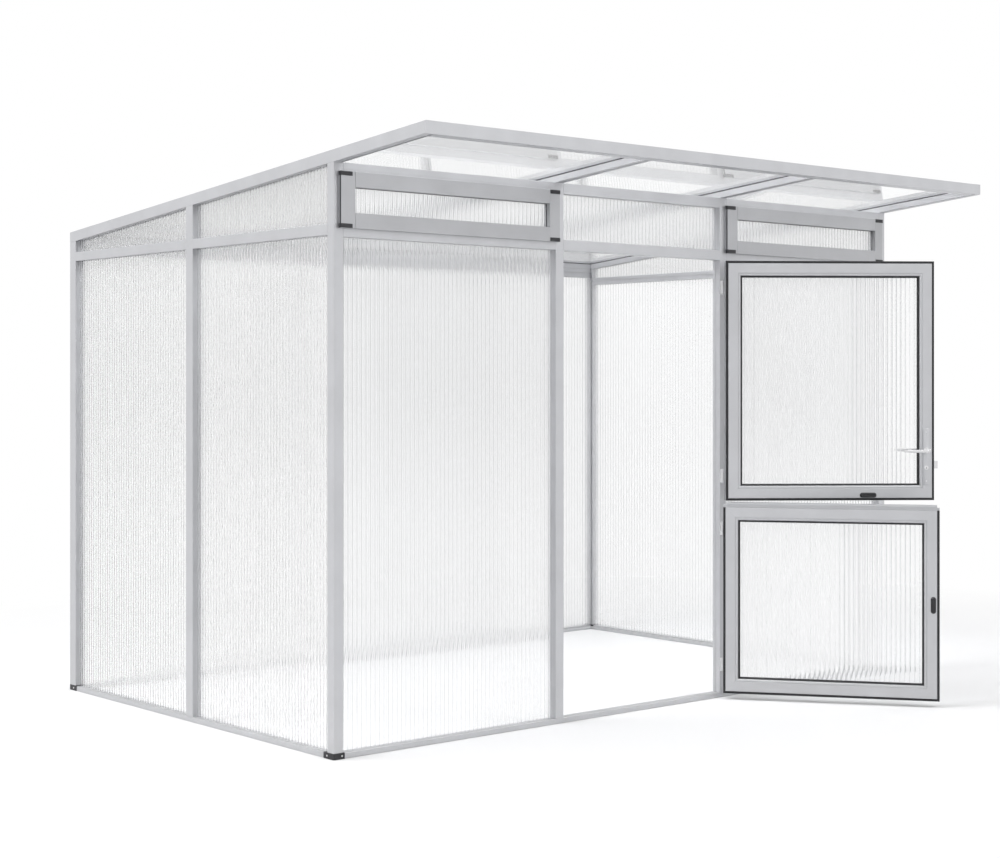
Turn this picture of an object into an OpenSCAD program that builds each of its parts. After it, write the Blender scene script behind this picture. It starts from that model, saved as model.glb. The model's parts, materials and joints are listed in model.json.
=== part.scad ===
// Lean-to greenhouse with a canopy, two transom vents and a stable door.
// Frame: +X along the front wall to the right as seen from outside, +Y to the
// back, +Z up. Origin: middle of the underside of the front base rail.

/* [House] */
// Outside width of the front wall
width = 3090; // [2700:10:3600]
// Outside depth, front wall to back wall
depth = 1960; // [1500:10:2600]
// Height of the roof's top edge above the front wall
front_height = 2144; // [2125:1:2170]
// Height of the roof's top edge at the back
back_height = 1971; // [1955:1:2000]
// Reach of the canopy in front of the front wall
canopy = 520; // [200:10:700]

/* [Frame bars] */
// Face width of the front and corner posts
post_w = 41; // [36:1:50]
// Depth of the posts, outside to inside
post_d = 40; // [40:1:50]
// Face width of the mid and back posts of the side walls
side_post_w = 50; // [40:1:60]
// Width of the base rails on the ground
base_w = 60; // [50:1:80]
// Height of the base rails
base_h = 20; // [15:1:20]
// Height of the plastic corner feet
foot_h = 22; // [18:1:24]
// Depth of the roof bars
roof_bar = 44; // [36:1:50]
// Underside of the transom rail over the door
transom_z = 1838; // [1838:1:1842]
// Top of the transom rail over the door
transom_top = 1880; // [1876:1:1884]
// Underside of the head rail of the front wall
head_z = 2058; // [2050:1:2066]
// Underside of the mid rail of the side walls
side_rail_z = 1845; // [1830:1:1850]
// Top of the mid rail of the side walls
side_rail_top = 1883; // [1875:1:1890]

/* [Glazing] */
// Thickness of the twin-wall sheets
sheet = 16; // [10:1:16]
// Setback of the sheets behind the outside of the frame
setback = 22; // [16:1:24]
// Thickness of the roof panes
pane = 4; // [4:1:8]
// Depth of the roof panes below the roof's top edge
pane_drop = 12; // [8:1:20]

/* [Doorway] */
// Left side of the doorway, from the left end of the front wall
door_x = 1092; // [1050:1:1130]
// Clear width of the doorway
door_w = 890; // [800:5:1000]
// Gap between each leaf and the doorway's sides
door_gap = 5; // [5:1:8]
// Thickness of the leaves
leaf_t = 45; // [36:1:50]
// Width of the leaf bars
leaf_bar = 63; // [50:1:80]
// Bottom of the lower leaf
lower_z = 25.5; // [25.5:0.5:40]
// Top of the lower leaf's top bar
lower_top = 802; // [700:1:802]
// Bottom of the upper leaf
upper_z = 829.5; // [829.5:0.5:840]
// Top of the upper leaf
upper_top = 1832.5; // [1700:0.5:1832.5]
// Opening angle of the upper leaf, from closed
upper_open = 142; // [0:1:170]
// Opening angle of the lower leaf, from closed
lower_open = 126; // [0:1:170]

/* [Vents] */
// Lap of the vent sashes over the frame
vent_lap = 7; // [4:1:12]
// Lap of the left sash over the corner post
vent_corner_lap = 19; // [4:1:24]
// Bottom of the vent sashes
vent_z = 1868; // [1860:1:1872]
// Top of the vent sashes
vent_top = 2069; // [2064:1:2075]
// Stand-off of the vent sashes in front of the frame
vent_out = 14; // [10:1:20]

/* [Hidden] */
x_left = -width / 2;
x_right = width / 2;
y_front = -base_w / 2;
y_back = y_front + depth;
slope = (front_height - back_height) / depth;
y_canopy = y_front - canopy;
x_jamb_l = x_left + door_x;
x_jamb_r = x_jamb_l + door_w;
x_post_1 = x_jamb_l - post_w;
x_post_2 = x_jamb_r;
foot_out = 2;
foot_size = 46;
mid_post_in = 948;
y_mid_post = y_front + mid_post_in;
y_back_post = y_back - side_post_w;
cut = 1; // how far a cutting shape runs past the face it cuts
round_sides = 40;

// the three front bays as [left, right]
front_bays = [
  [x_left + post_w, x_post_1],
  [x_jamb_l, x_jamb_r],
  [x_post_2 + post_w, x_right - post_w]
];

// vent sashes: bar widths, depth inside the bay, gap round the part in the bay
vent_stile_left = 62;
vent_stile_right = 50;
vent_rail = 55;
vent_in = 22;
vent_gap = 1;

// hinge axis: just in front of the front wall, beside the right jamb
axis_right = 3;
axis_out = 12;
axis_x = x_jamb_r + axis_right;
axis_y = y_front - axis_out;
leaf_in = -(axis_right + door_gap);
leaf_len = door_w - 2 * door_gap;
leaf_end = leaf_in - leaf_len;
seal = 10;
seal_t = 8;
seal_back = 2;
bead_seal = 7;
bead_seal_t = 6;
door_sheet_y = 16;
hinge_h = 56;
hinge_r = 6;
hinge_mid = 22;
hinge_gap = 1;
hinge_leaf = 3;
hinge_plate = 24;
hinge_strap = 34;
upper_hinges = [932, 1723];
lower_hinges = [139, 711];
plate_w = 26;
plate_t = 4;
plate_z = 894;
plate_h = 237;
lock_x = leaf_end + 35;
lever_z = 1038;
lever_l = 112;
lever_out = 44;
lever_gap = 0.5;
latch_out = 18;
latch_y = 20;
latch_t = 12;
latch_z = 962;
latch_h = 32;
mortise_gap = 5;
mortise_side = 4;
knob_w = 21;
knob_t = 9;
upper_knob_l = 70;
upper_knob_in = 599;
upper_knob_z = 851.5;
lower_knob_l = 68;
lower_knob_end = 25;
lower_knob_z = 417;

silver = [0.76, 0.77, 0.79];
pale = [0.84, 0.85, 0.87];
black = [0.12, 0.12, 0.13];
clear = [0.86, 0.90, 0.92, 0.45];
bright = [0.86, 0.87, 0.88];

function roof_top(y) = front_height - (y - y_front) * slope;
function roof_low(y) = roof_top(y) - roof_bar;

// box between two corners
module span(a, b) {
  translate(a)
    cube(b - a);
}

// prism along X from x0 to x1 over a list of [y, z] points
module side_prism(x0, x1, pts) {
  translate([x0, 0, 0])
    rotate([90, 0, 90])
      linear_extrude(height = x1 - x0)
        polygon(pts);
}

// upright from z0 to the underside of the sloping roof bars
module upright(x0, x1, y0, y1, z0) {
  side_prism(x0, x1, [[y0, z0], [y1, z0], [y1, roof_low(y1)], [y0, roof_low(y0)]]);
}

// bar that follows the roof between two depths below its top edge
module roof_strip(x0, x1, y0, y1, drop0, drop1) {
  side_prism(x0, x1, [
    [y0, roof_top(y0) - drop1],
    [y1, roof_top(y1) - drop1],
    [y1, roof_top(y1) - drop0],
    [y0, roof_top(y0) - drop0]
  ]);
}

// mirror image on the right half of the house
module on_right() {
  mirror([1, 0, 0])
    children();
}

// leaf pieces are drawn closed, about the hinge axis
module leaf_at(angle) {
  translate([axis_x, axis_y, 0])
    rotate([0, 0, angle])
      children();
}

// flat ring in the XZ plane, y0 to y1, with its outside inset and its width given
module ring(x0, x1, z0, z1, y0, y1, inset, w) {
  difference() {
    span([x0 + inset, y0, z0 + inset], [x1 - inset, y1, z1 - inset]);
    span([x0 + inset + w, y0 - cut, z0 + inset + w], [x1 - inset - w, y1 + cut, z1 - inset - w]);
  }
}

module base_front() {
  color(silver)
    span([x_left + foot_size, y_front, 0], [x_right - foot_size, y_front + base_w, base_h]);
}

module base_back() {
  color(silver)
    span([x_left + foot_size, y_back - base_w, 0], [x_right - foot_size, y_back, base_h]);
}

module side_base() {
  span([x_left, y_front + base_w, 0], [x_left + base_w, y_back - base_w, base_h]);
}

module base_sides() {
  color(silver) {
    side_base();
    on_right()
      side_base();
  }
}

// the part above the base rails leaves out the sheets and stays in line with the post
module front_foot() {
  x0 = x_left - foot_out;
  y0 = y_front - foot_out;
  span([x0, y0, 0], [x_left + foot_size, y_front + base_w, base_h]);
  span([x0, y0, base_h - cut], [x_left + post_w, y_front + post_d, foot_h]);
  span([x0, y0, base_h - cut], [x_left + foot_size, y_front + setback, foot_h]);
  span([x0, y0, base_h - cut], [x_left + setback, y_front + base_w, foot_h]);
}

module back_foot() {
  x0 = x_left - foot_out;
  y1 = y_back + foot_out;
  span([x0, y_back - base_w, 0], [x_left + foot_size, y1, base_h]);
  span([x0, y_back_post, base_h - cut], [x_left + post_w, y1, foot_h]);
  span([x0, y_back - setback, base_h - cut], [x_left + foot_size, y1, foot_h]);
  span([x0, y_back - base_w, base_h - cut], [x_left + setback, y1, foot_h]);
}

module corner_feet() {
  color(black) {
    front_foot();
    back_foot();
    on_right()
      front_foot();
    on_right()
      back_foot();
  }
}

module post_front_left() {
  color(pale)
    upright(x_left, x_left + post_w, y_front, y_front + post_d, foot_h);
}

module post_front_right() {
  color(pale)
    on_right()
      upright(x_left, x_left + post_w, y_front, y_front + post_d, foot_h);
}

module post_back_left() {
  color(pale)
    upright(x_left, x_left + post_w, y_back_post, y_back, foot_h);
}

module post_back_right() {
  color(pale)
    on_right()
      upright(x_left, x_left + post_w, y_back_post, y_back, foot_h);
}

// the left jamb has the mortise that takes the latch
module jamb_left() {
  y0 = axis_y + latch_y - mortise_side;
  y1 = axis_y + latch_y + latch_t + mortise_side;
  color(pale)
    difference() {
      upright(x_post_1, x_post_1 + post_w, y_front, y_front + post_d, base_h);
      span(
        [x_jamb_l + door_gap - latch_out - mortise_gap, y0, latch_z - mortise_gap],
        [x_jamb_l + cut, y1, latch_z + latch_h + mortise_gap]
      );
    }
}

module jamb_right() {
  color(pale)
    upright(x_post_2, x_post_2 + post_w, y_front, y_front + post_d, base_h);
}

module side_middle_post() {
  upright(x_left, x_left + post_d, y_mid_post, y_mid_post + side_post_w, base_h);
}

module posts_side_middle() {
  color(pale) {
    side_middle_post();
    on_right()
      side_middle_post();
  }
}

module posts_back_middle() {
  color(pale)
    for (x = [x_post_1, x_post_2])
      span([x, y_back - post_d, base_h], [x + post_w, y_back, side_rail_top]);
}

module rail_front_transom() {
  color(silver)
    for (bay = front_bays)
      span([bay[0], y_front, transom_z], [bay[1], y_front + post_d, transom_top]);
}

module rail_front_head() {
  color(silver)
    for (bay = front_bays)
      upright(bay[0], bay[1], y_front, y_front + post_d, head_z);
}

module side_rails() {
  span([x_left, y_front + post_d, side_rail_z], [x_left + post_d, y_mid_post, side_rail_top]);
  span([x_left, y_mid_post + side_post_w, side_rail_z], [x_left + post_d, y_back_post, side_rail_top]);
}

module rails_side() {
  color(silver) {
    side_rails();
    on_right()
      side_rails();
  }
}

module beam_back() {
  color(silver)
    upright(x_left + post_w, x_right - post_w, y_back - post_d, y_back, side_rail_top);
}

module roof_bar_left() {
  color(pale)
    roof_strip(x_left, x_left + post_w, y_canopy, y_back, 0, roof_bar);
}

module roof_bar_right() {
  color(pale)
    on_right()
      roof_strip(x_left, x_left + post_w, y_canopy, y_back, 0, roof_bar);
}

module roof_rafters() {
  color(silver)
    for (x = [x_post_1, x_post_2])
      roof_strip(x, x + post_w, y_canopy + post_d, y_back - post_d, 0, roof_bar);
}

module roof_fascia() {
  color(pale)
    roof_strip(x_left + post_w, x_right - post_w, y_canopy, y_canopy + post_d, 0, roof_bar);
}

module roof_bar_back() {
  color(silver)
    roof_strip(x_left + post_w, x_right - post_w, y_back - post_d, y_back, 0, roof_bar);
}

module roof_panes() {
  color(clear)
    for (bay = front_bays)
      roof_strip(bay[0], bay[1], y_canopy + post_d, y_back - post_d, pane_drop, pane_drop + pane);
}

module sheets_front() {
  y0 = y_front + setback;
  color(clear) {
    span([front_bays[0][0], y0, base_h], [front_bays[0][1], y0 + sheet, transom_z]);
    span([front_bays[2][0], y0, base_h], [front_bays[2][1], y0 + sheet, transom_z]);
    span([front_bays[1][0], y0, transom_top], [front_bays[1][1], y0 + sheet, head_z]);
  }
}

// two lower sheets and the two tapering ones above them
module side_sheets() {
  x0 = x_left + setback;
  y_bays = [[y_front + post_d, y_mid_post], [y_mid_post + side_post_w, y_back_post]];
  for (bay = y_bays) {
    span([x0, bay[0], base_h], [x0 + sheet, bay[1], side_rail_z]);
    upright(x0, x0 + sheet, bay[0], bay[1], side_rail_top);
  }
}

module sheets_left() {
  color(clear)
    side_sheets();
}

module sheets_right() {
  color(clear)
    on_right()
      side_sheets();
}

module sheets_back() {
  y0 = y_back - setback - sheet;
  color(clear)
    for (bay = front_bays)
      span([bay[0], y0, base_h], [bay[1], y0 + sheet, side_rail_top]);
}

// sash: a flange lapped over the frame and a body inside the bay
module vent_sash(bay, lap) {
  x0 = bay[0] - lap;
  x1 = bay[1] + vent_lap;
  y0 = y_front - vent_out;
  y1 = y_front + vent_in;
  difference() {
    union() {
      span([x0, y0, vent_z], [x1, y_front, vent_top]);
      span([bay[0] + vent_gap, y0, transom_top + vent_gap], [bay[1] - vent_gap, y1, head_z - vent_gap]);
    }
    span(
      [x0 + vent_stile_left, y0 - cut, vent_z + vent_rail],
      [x1 - vent_stile_right, y1 + cut, vent_top - vent_rail]
    );
  }
}

module vent_sheet(bay, lap) {
  span(
    [bay[0] - lap + vent_stile_left, y_front + vent_in - sheet, vent_z + vent_rail],
    [bay[1] + vent_lap - vent_stile_right, y_front + vent_in, vent_top - vent_rail]
  );
}

module vent_left_sash() {
  color(silver)
    vent_sash(front_bays[0], vent_corner_lap);
}

module vent_right_sash() {
  color(silver)
    vent_sash(front_bays[2], vent_lap);
}

module vent_left_sheet() {
  color(clear)
    vent_sheet(front_bays[0], vent_corner_lap);
}

module vent_right_sheet() {
  color(clear)
    vent_sheet(front_bays[2], vent_lap);
}

// black caps lapped round the sashes' corners
module vent_caps() {
  cap_w = 48;
  cap_h = 15;
  cap_t = 2;
  cap_in = 1;
  y0 = y_front - vent_out - cap_t;
  color(black)
    for (ends = [
      [front_bays[0][0] - vent_corner_lap, front_bays[0][1] + vent_lap],
      [front_bays[2][0] - vent_lap, front_bays[2][1] + vent_lap]
    ])
      for (z = [vent_z + cap_in, vent_top - cap_in - cap_h]) {
        span([ends[0], y0, z], [ends[0] + cap_w, y0 + cap_t, z + cap_h]);
        span([ends[1] - cap_w, y0, z], [ends[1], y0 + cap_t, z + cap_h]);
      }
}

// leaf frame: full outline outside, stepped in for the seal on the inside
module leaf_frame(z0, z1) {
  difference() {
    union() {
      span([leaf_end, 0, z0], [leaf_in, leaf_t - seal_back - seal_t, z1]);
      span([leaf_end + seal, 0, z0 + seal], [leaf_in - seal, leaf_t, z1 - seal]);
    }
    span([leaf_end + leaf_bar, -cut, z0 + leaf_bar], [leaf_in - leaf_bar, leaf_t + cut, z1 - leaf_bar]);
  }
}

// seal round the leaf's edge and the one that holds the sheet
module leaf_seal(z0, z1) {
  y_edge = leaf_t - seal_back - seal_t;
  y_sheet = door_sheet_y + sheet;
  ring(leaf_end, leaf_in, z0, z1, y_edge, y_edge + seal_t, 0, seal);
  ring(leaf_end, leaf_in, z0, z1, y_sheet, y_sheet + bead_seal_t, leaf_bar, bead_seal);
}

module leaf_sheet(z0, z1) {
  span(
    [leaf_end + leaf_bar, door_sheet_y, z0 + leaf_bar],
    [leaf_in - leaf_bar, door_sheet_y + sheet, z1 - leaf_bar]
  );
}

module door_upper_frame() {
  color(pale)
    leaf_at(upper_open)
      leaf_frame(upper_z, upper_top);
}

module door_upper_seal() {
  color(black)
    leaf_at(upper_open)
      leaf_seal(upper_z, upper_top);
}

module door_upper_sheet() {
  color(clear)
    leaf_at(upper_open)
      leaf_sheet(upper_z, upper_top);
}

// the lower leaf's top bar carries a rebate and a ledge instead of a seal
module lower_leaf_frame() {
  rebate = 8;
  rebate_h = 13;
  ledge_h = 8;
  x0 = leaf_end + seal;
  x1 = leaf_in - seal;
  y_edge = leaf_t - seal_back - seal_t;
  z_ledge = lower_top + rebate_h;
  difference() {
    union() {
      span([leaf_end, 0, lower_z], [leaf_in, y_edge, lower_top]);
      span([x0, 0, lower_z + seal], [x1, leaf_t, lower_top]);
      span([x0, 0, lower_top], [x1, leaf_t - rebate, z_ledge]);
      span([x0, 0, z_ledge], [x1, leaf_t, z_ledge + ledge_h]);
    }
    span(
      [leaf_end + leaf_bar, -cut, lower_z + leaf_bar],
      [leaf_in - leaf_bar, leaf_t + cut, lower_top + seal - leaf_bar]
    );
  }
}

module door_lower_frame() {
  color(pale)
    leaf_at(lower_open)
      lower_leaf_frame();
}

// on the lower leaf the edge seal runs down both sides and under the leaf
module lower_leaf_seal() {
  y_edge = leaf_t - seal_back - seal_t;
  y_face = leaf_t - seal_back;
  y_sheet = door_sheet_y + sheet;
  y_bead = y_sheet + bead_seal_t;
  difference() {
    span([leaf_end, y_edge, lower_z], [leaf_in, y_face, lower_top]);
    span([leaf_end + seal, y_edge - cut, lower_z + seal], [leaf_in - seal, y_face + cut, lower_top + cut]);
  }
  ring(leaf_end, leaf_in, lower_z, lower_top + seal, y_sheet, y_bead, leaf_bar, bead_seal);
}

module door_lower_seal() {
  color(black)
    leaf_at(lower_open)
      lower_leaf_seal();
}

module door_lower_sheet() {
  color(clear)
    leaf_at(lower_open)
      leaf_sheet(lower_z, lower_top + seal);
}

// fixed half of a hinge: plate on the jamb, web and the two outer knuckles
module hinge_fixed(z) {
  end_h = (hinge_h - hinge_mid) / 2 - hinge_gap;
  for (z0 = [z - hinge_h / 2, z + hinge_h / 2 - end_h]) {
    translate([axis_x, axis_y, z0])
      cylinder(h = end_h, r = hinge_r, $fn = round_sides);
    span([x_jamb_r, axis_y, z0], [axis_x + axis_right, y_front, z0 + end_h]);
  }
  span([x_jamb_r, y_front - hinge_leaf, z - hinge_h / 2], [axis_x + hinge_plate, y_front, z + hinge_h / 2]);
}

module hinges_jamb() {
  color(bright)
    for (z = concat(upper_hinges, lower_hinges))
      hinge_fixed(z);
}

// moving half of a hinge: middle knuckle and a strap on the leaf's outside
module hinge_moving(z) {
  translate([0, 0, z - hinge_mid / 2])
    cylinder(h = hinge_mid, r = hinge_r, $fn = round_sides);
  span([leaf_in - hinge_strap, -hinge_leaf, z - hinge_mid / 2], [0, 0, z + hinge_mid / 2]);
}

module hinges_upper() {
  color(bright)
    leaf_at(upper_open)
      for (z = upper_hinges)
        hinge_moving(z);
}

module hinges_lower() {
  color(bright)
    leaf_at(lower_open)
      for (z = lower_hinges)
        hinge_moving(z);
}

// lock plates on both faces of the upper leaf
module lock_plates() {
  spindle_hole = 9;
  x0 = lock_x - plate_w / 2;
  color(bright)
    leaf_at(upper_open)
      for (y0 = [-plate_t, leaf_t])
        difference() {
          span([x0, y0, plate_z], [x0 + plate_w, y0 + plate_t, plate_z + plate_h]);
          translate([lock_x, y0 - cut, lever_z])
            rotate([-90, 0, 0])
              cylinder(h = plate_t + 2 * cut, r = spindle_hole, $fn = round_sides);
        }
}

module lock_latch() {
  x0 = leaf_end - latch_out;
  color(bright)
    leaf_at(upper_open)
      span([x0, latch_y, latch_z], [leaf_end, latch_y + latch_t, latch_z + latch_h]);
}

// one lever: neck through the plate and a bar pointing at the hinges
module lever(face, out) {
  neck_r = 8;
  bar_t = 10;
  bar_h = 16;
  translate([lock_x, face, lever_z])
    rotate([out > 0 ? -90 : 90, 0, 0])
      cylinder(h = lever_out, r = neck_r, $fn = round_sides);
  x0 = lock_x - neck_r;
  y0 = out > 0 ? face + lever_out - bar_t : face - lever_out;
  z0 = lever_z - bar_h / 2;
  span([x0, y0, z0], [x0 + lever_l, y0 + bar_t, z0 + bar_h]);
}

module lever_handle() {
  color(bright)
    leaf_at(upper_open) {
      lever(leaf_t + lever_gap, 1);
      lever(-lever_gap, -1);
    }
}

module oval_knob(l) {
  rotate([-90, 0, 0])
    linear_extrude(height = knob_t)
      union() {
        square([l - knob_w, knob_w], center = true);
        for (side = [-1, 1])
          translate([side * (l - knob_w) / 2, 0])
            circle(d = knob_w, $fn = round_sides);
      }
}

module slide_knob_upper() {
  color(black)
    leaf_at(upper_open)
      translate([leaf_in - upper_knob_in, leaf_t, upper_knob_z])
        oval_knob(upper_knob_l);
}

module slide_knob_lower() {
  color(black)
    leaf_at(lower_open)
      translate([leaf_end + lower_knob_end, leaf_t, lower_knob_z])
        rotate([0, 90, 0])
          oval_knob(lower_knob_l);
}

base_front();
base_back();
base_sides();
corner_feet();
post_front_left();
post_front_right();
post_back_left();
post_back_right();
jamb_left();
jamb_right();
posts_side_middle();
posts_back_middle();
rail_front_transom();
rail_front_head();
rails_side();
beam_back();
roof_bar_left();
roof_bar_right();
roof_rafters();
roof_fascia();
roof_bar_back();
roof_panes();
sheets_front();
sheets_left();
sheets_right();
sheets_back();
vent_left_sash();
vent_left_sheet();
vent_right_sash();
vent_right_sheet();
vent_caps();
door_upper_frame();
door_upper_seal();
door_upper_sheet();
door_lower_frame();
door_lower_seal();
door_lower_sheet();
hinges_jamb();
hinges_upper();
hinges_lower();
lock_plates();
lock_latch();
lever_handle();
slide_knob_upper();
slide_knob_lower();
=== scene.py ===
import json
import math

import bmesh
import bpy
from mathutils import Matrix, Vector


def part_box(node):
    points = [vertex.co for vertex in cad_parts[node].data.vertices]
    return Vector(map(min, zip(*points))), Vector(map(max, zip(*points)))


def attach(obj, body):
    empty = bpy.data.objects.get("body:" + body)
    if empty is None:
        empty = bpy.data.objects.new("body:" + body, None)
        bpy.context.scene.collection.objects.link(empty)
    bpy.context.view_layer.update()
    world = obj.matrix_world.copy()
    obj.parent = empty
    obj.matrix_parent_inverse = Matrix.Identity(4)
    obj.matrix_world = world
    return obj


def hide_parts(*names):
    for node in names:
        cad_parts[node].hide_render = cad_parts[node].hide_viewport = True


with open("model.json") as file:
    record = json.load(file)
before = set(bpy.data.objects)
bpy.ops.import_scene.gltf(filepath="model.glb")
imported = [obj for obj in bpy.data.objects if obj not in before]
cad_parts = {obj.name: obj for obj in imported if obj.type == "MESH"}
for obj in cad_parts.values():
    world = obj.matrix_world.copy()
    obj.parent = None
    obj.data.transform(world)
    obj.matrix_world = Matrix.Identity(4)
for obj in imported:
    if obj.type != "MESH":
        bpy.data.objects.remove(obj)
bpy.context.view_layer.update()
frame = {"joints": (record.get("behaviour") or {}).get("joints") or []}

bl_info = {
    "name": "Canopy Greenhouse",
    "version": (1, 0, 0),
    "blender": (4, 5, 0),
    "location": "3D View > Sidebar > Greenhouse",
    "description": "Aluminium lean-to greenhouse with twin-wall sheets, two vents and a stable door",
    "category": "Object",
}

MM = 0.001
SEAT = 3 * MM  # how far a sheet reaches into the channel of the bar beside it


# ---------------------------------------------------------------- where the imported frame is

def low(node):
    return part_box(node)[0]


def high(node):
    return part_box(node)[1]


def joint(name):
    return next(j for j in frame["joints"] if j["name"] == name)


Y_FRONT = low("post_front_left").y
Y_BACK = high("post_back_left").y
X_LEFT = low("post_front_left").x
X_RIGHT = high("post_front_right").x
POST_W = high("post_front_left").x - X_LEFT
POST_D = high("post_front_left").y - Y_FRONT
BASE_H = high("base_front").z
BASE_W = high("base_front").y - Y_FRONT
Y_CANOPY = low("roof_bar_left").y
ROOF_SLOPE = (high("roof_bar_left").z - high("roof_bar_back").z) / (low("roof_bar_back").y - Y_CANOPY)
ROOF_BAR = high("roof_bar_back").z - low("roof_bar_back").z - ROOF_SLOPE * POST_D
X_JAMB_L = high("jamb_left").x
X_JAMB_R = low("jamb_right").x
Y_MID_POST = (low("posts_side_middle").y, high("posts_side_middle").y)
Y_BACK_POST = low("post_back_left").y
TRANSOM = (low("rail_front_transom").z, high("rail_front_transom").z)
HEAD_Z = low("rail_front_head").z
SIDE_RAIL = (low("rails_side").z, high("rails_side").z)
FRONT_BAYS = [
    (X_LEFT + POST_W, low("jamb_left").x),
    (X_JAMB_L, X_JAMB_R),
    (high("jamb_right").x, X_RIGHT - POST_W),
]
SIDE_BAYS = [(Y_FRONT + POST_D, Y_MID_POST[0]), (Y_MID_POST[1], Y_BACK_POST)]
SHEET_Y = (low("sheets_front").y, high("sheets_front").y)
SHEET_T = SHEET_Y[1] - SHEET_Y[0]


def roof_top(y):
    return high("roof_bar_left").z - (y - Y_CANOPY) * ROOF_SLOPE


def roof_low(y):
    return roof_top(y) - ROOF_BAR


# ---------------------------------------------------------------- sizes and finishes a user can set

class GreenhouseSizes(bpy.types.PropertyGroup):
    web_pitch: bpy.props.FloatProperty(
        name="Web Pitch", description="Distance between the webs of the twin-wall sheets",
        default=0.020, min=0.008, max=0.04, unit="LENGTH")
    web: bpy.props.FloatProperty(
        name="Web", description="Thickness of one web", default=0.0007, min=0.0003, max=0.002, unit="LENGTH")
    cell_bulge: bpy.props.FloatProperty(
        name="Cell Bulge", description="How far the front and back of a cell curve", default=0.0010,
        min=0.0, max=0.004, unit="LENGTH")
    skin: bpy.props.FloatProperty(
        name="Skin", description="Thickness of the outer and inner skin", default=0.0010,
        min=0.0004, max=0.003, unit="LENGTH")
    arris: bpy.props.FloatProperty(
        name="Arris", description="Chamfer on the long edges of the bars", default=0.0010,
        min=0.0003, max=0.002, unit="LENGTH")
    groove: bpy.props.FloatProperty(
        name="Groove", description="Opening of the fixing grooves in the bars", default=0.007,
        min=0.004, max=0.01, unit="LENGTH")


class GreenhouseFinishes(bpy.types.PropertyGroup):
    aluminium: bpy.props.FloatVectorProperty(
        name="Aluminium", description="Colour of the satin aluminium bars", subtype="COLOR",
        default=(0.565, 0.57, 0.59), size=3, min=0, max=1)
    steel: bpy.props.FloatVectorProperty(
        name="Steel", description="Colour of the hinges, lock plates and screws", subtype="COLOR",
        default=(0.70, 0.70, 0.71), size=3, min=0, max=1)
    black: bpy.props.FloatVectorProperty(
        name="Black Plastic", description="Colour of the feet, caps and knobs", subtype="COLOR",
        default=(0.018, 0.018, 0.021), size=3, min=0, max=1)
    rubber: bpy.props.FloatVectorProperty(
        name="Rubber", description="Colour of the seals", subtype="COLOR",
        default=(0.012, 0.012, 0.014), size=3, min=0, max=1)
    sheet: bpy.props.FloatVectorProperty(
        name="Sheet", description="Colour of the twin-wall sheets", subtype="COLOR",
        default=(0.985, 0.988, 0.992), size=3, min=0, max=1)
    pane: bpy.props.FloatVectorProperty(
        name="Pane", description="Colour of the roof panes", subtype="COLOR",
        default=(0.975, 0.98, 0.985), size=3, min=0, max=1)


class GreenhouseStage(bpy.types.PropertyGroup):
    left_power: bpy.props.FloatProperty(
        name="Left Lamp", description="Power of the soft lamp on the left",
        default=480.0, min=0, subtype="POWER")
    right_power: bpy.props.FloatProperty(
        name="Right Lamp", description="Power of the soft lamp on the right",
        default=275.0, min=0, subtype="POWER")
    sky_level: bpy.props.FloatProperty(
        name="Sky Level", description="Brightness of the plain studio light", default=0.80, min=0)
    floor: bpy.props.FloatVectorProperty(
        name="Floor", description="Colour of the floor", subtype="COLOR",
        default=(0.70, 0.70, 0.705), size=3, min=0, max=1)


def sizes():
    return bpy.context.scene.greenhouse_sizes


def finishes():
    return bpy.context.scene.greenhouse_finishes


# ---------------------------------------------------------------- solids

class Solids:
    """Closed solids that become one mesh."""

    def __init__(self):
        self.points = []
        self.faces = []
        self.finish = []

    def add(self, points, faces, finish=0):
        first = len(self.points)
        self.points += [Vector(p) for p in points]
        self.faces += [[first + i for i in face] for face in faces]
        self.finish += [finish] * len(faces)

    def loft(self, rings, finish=0):
        """A closed solid through rings of as many points each, capped at both ends."""
        n = len(rings[0])
        points = [p for ring in rings for p in ring]
        faces = [list(range(n))[::-1], [len(points) - n + i for i in range(n)]]
        for r in range(len(rings) - 1):
            a = r * n
            faces += [[a + i, a + (i + 1) % n, a + n + (i + 1) % n, a + n + i] for i in range(n)]
        self.add(points, faces, finish)

    def box(self, a, b, arris=0.0, finish=0):
        """A box between two corners, with its long edges along the longest side chamfered."""
        lo = Vector([min(p, q) for p, q in zip(a, b)])
        size = Vector([abs(p - q) for p, q in zip(a, b)])
        axis = max(range(3), key=lambda k: size[k])
        u, v = [k for k in range(3) if k != axis]
        outline = eased([(0, 0), (size[u], 0), (size[u], size[v]), (0, size[v])], arris)

        def at(w):
            ring = []
            for p, q in outline:
                point = lo.copy()
                point[u] += p
                point[v] += q
                point[axis] += w
                ring.append(point)
            return ring
        self.loft([at(0), at(size[axis])], finish)

    def pillar(self, centre, axis, rings, sides=24, finish=0):
        """A turned solid: rings of (distance along the axis, radius)."""
        axis = Vector(axis).normalized()
        across = axis.orthogonal().normalized()
        up = axis.cross(across)
        turns = [2 * math.pi * i / sides for i in range(sides)]
        spokes = [across * math.cos(turn) + up * math.sin(turn) for turn in turns]
        self.loft([[Vector(centre) + axis * along + spoke * radius for spoke in spokes]
                   for along, radius in rings], finish)

    def moved(self, matrix):
        self.points = [matrix @ p for p in self.points]
        return self


def eased(outline, size):
    """The outline with each corner cut by a small flat."""
    if size <= 0:
        return list(outline)
    cut = []
    n = len(outline)
    for i, p in enumerate(outline):
        p = Vector(p)
        for q in (Vector(outline[i - 1]), Vector(outline[(i + 1) % n])):
            reach = min(size, (q - p).length * 0.45)
            cut.append(tuple(p + (q - p).normalized() * reach))
    return cut


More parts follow.
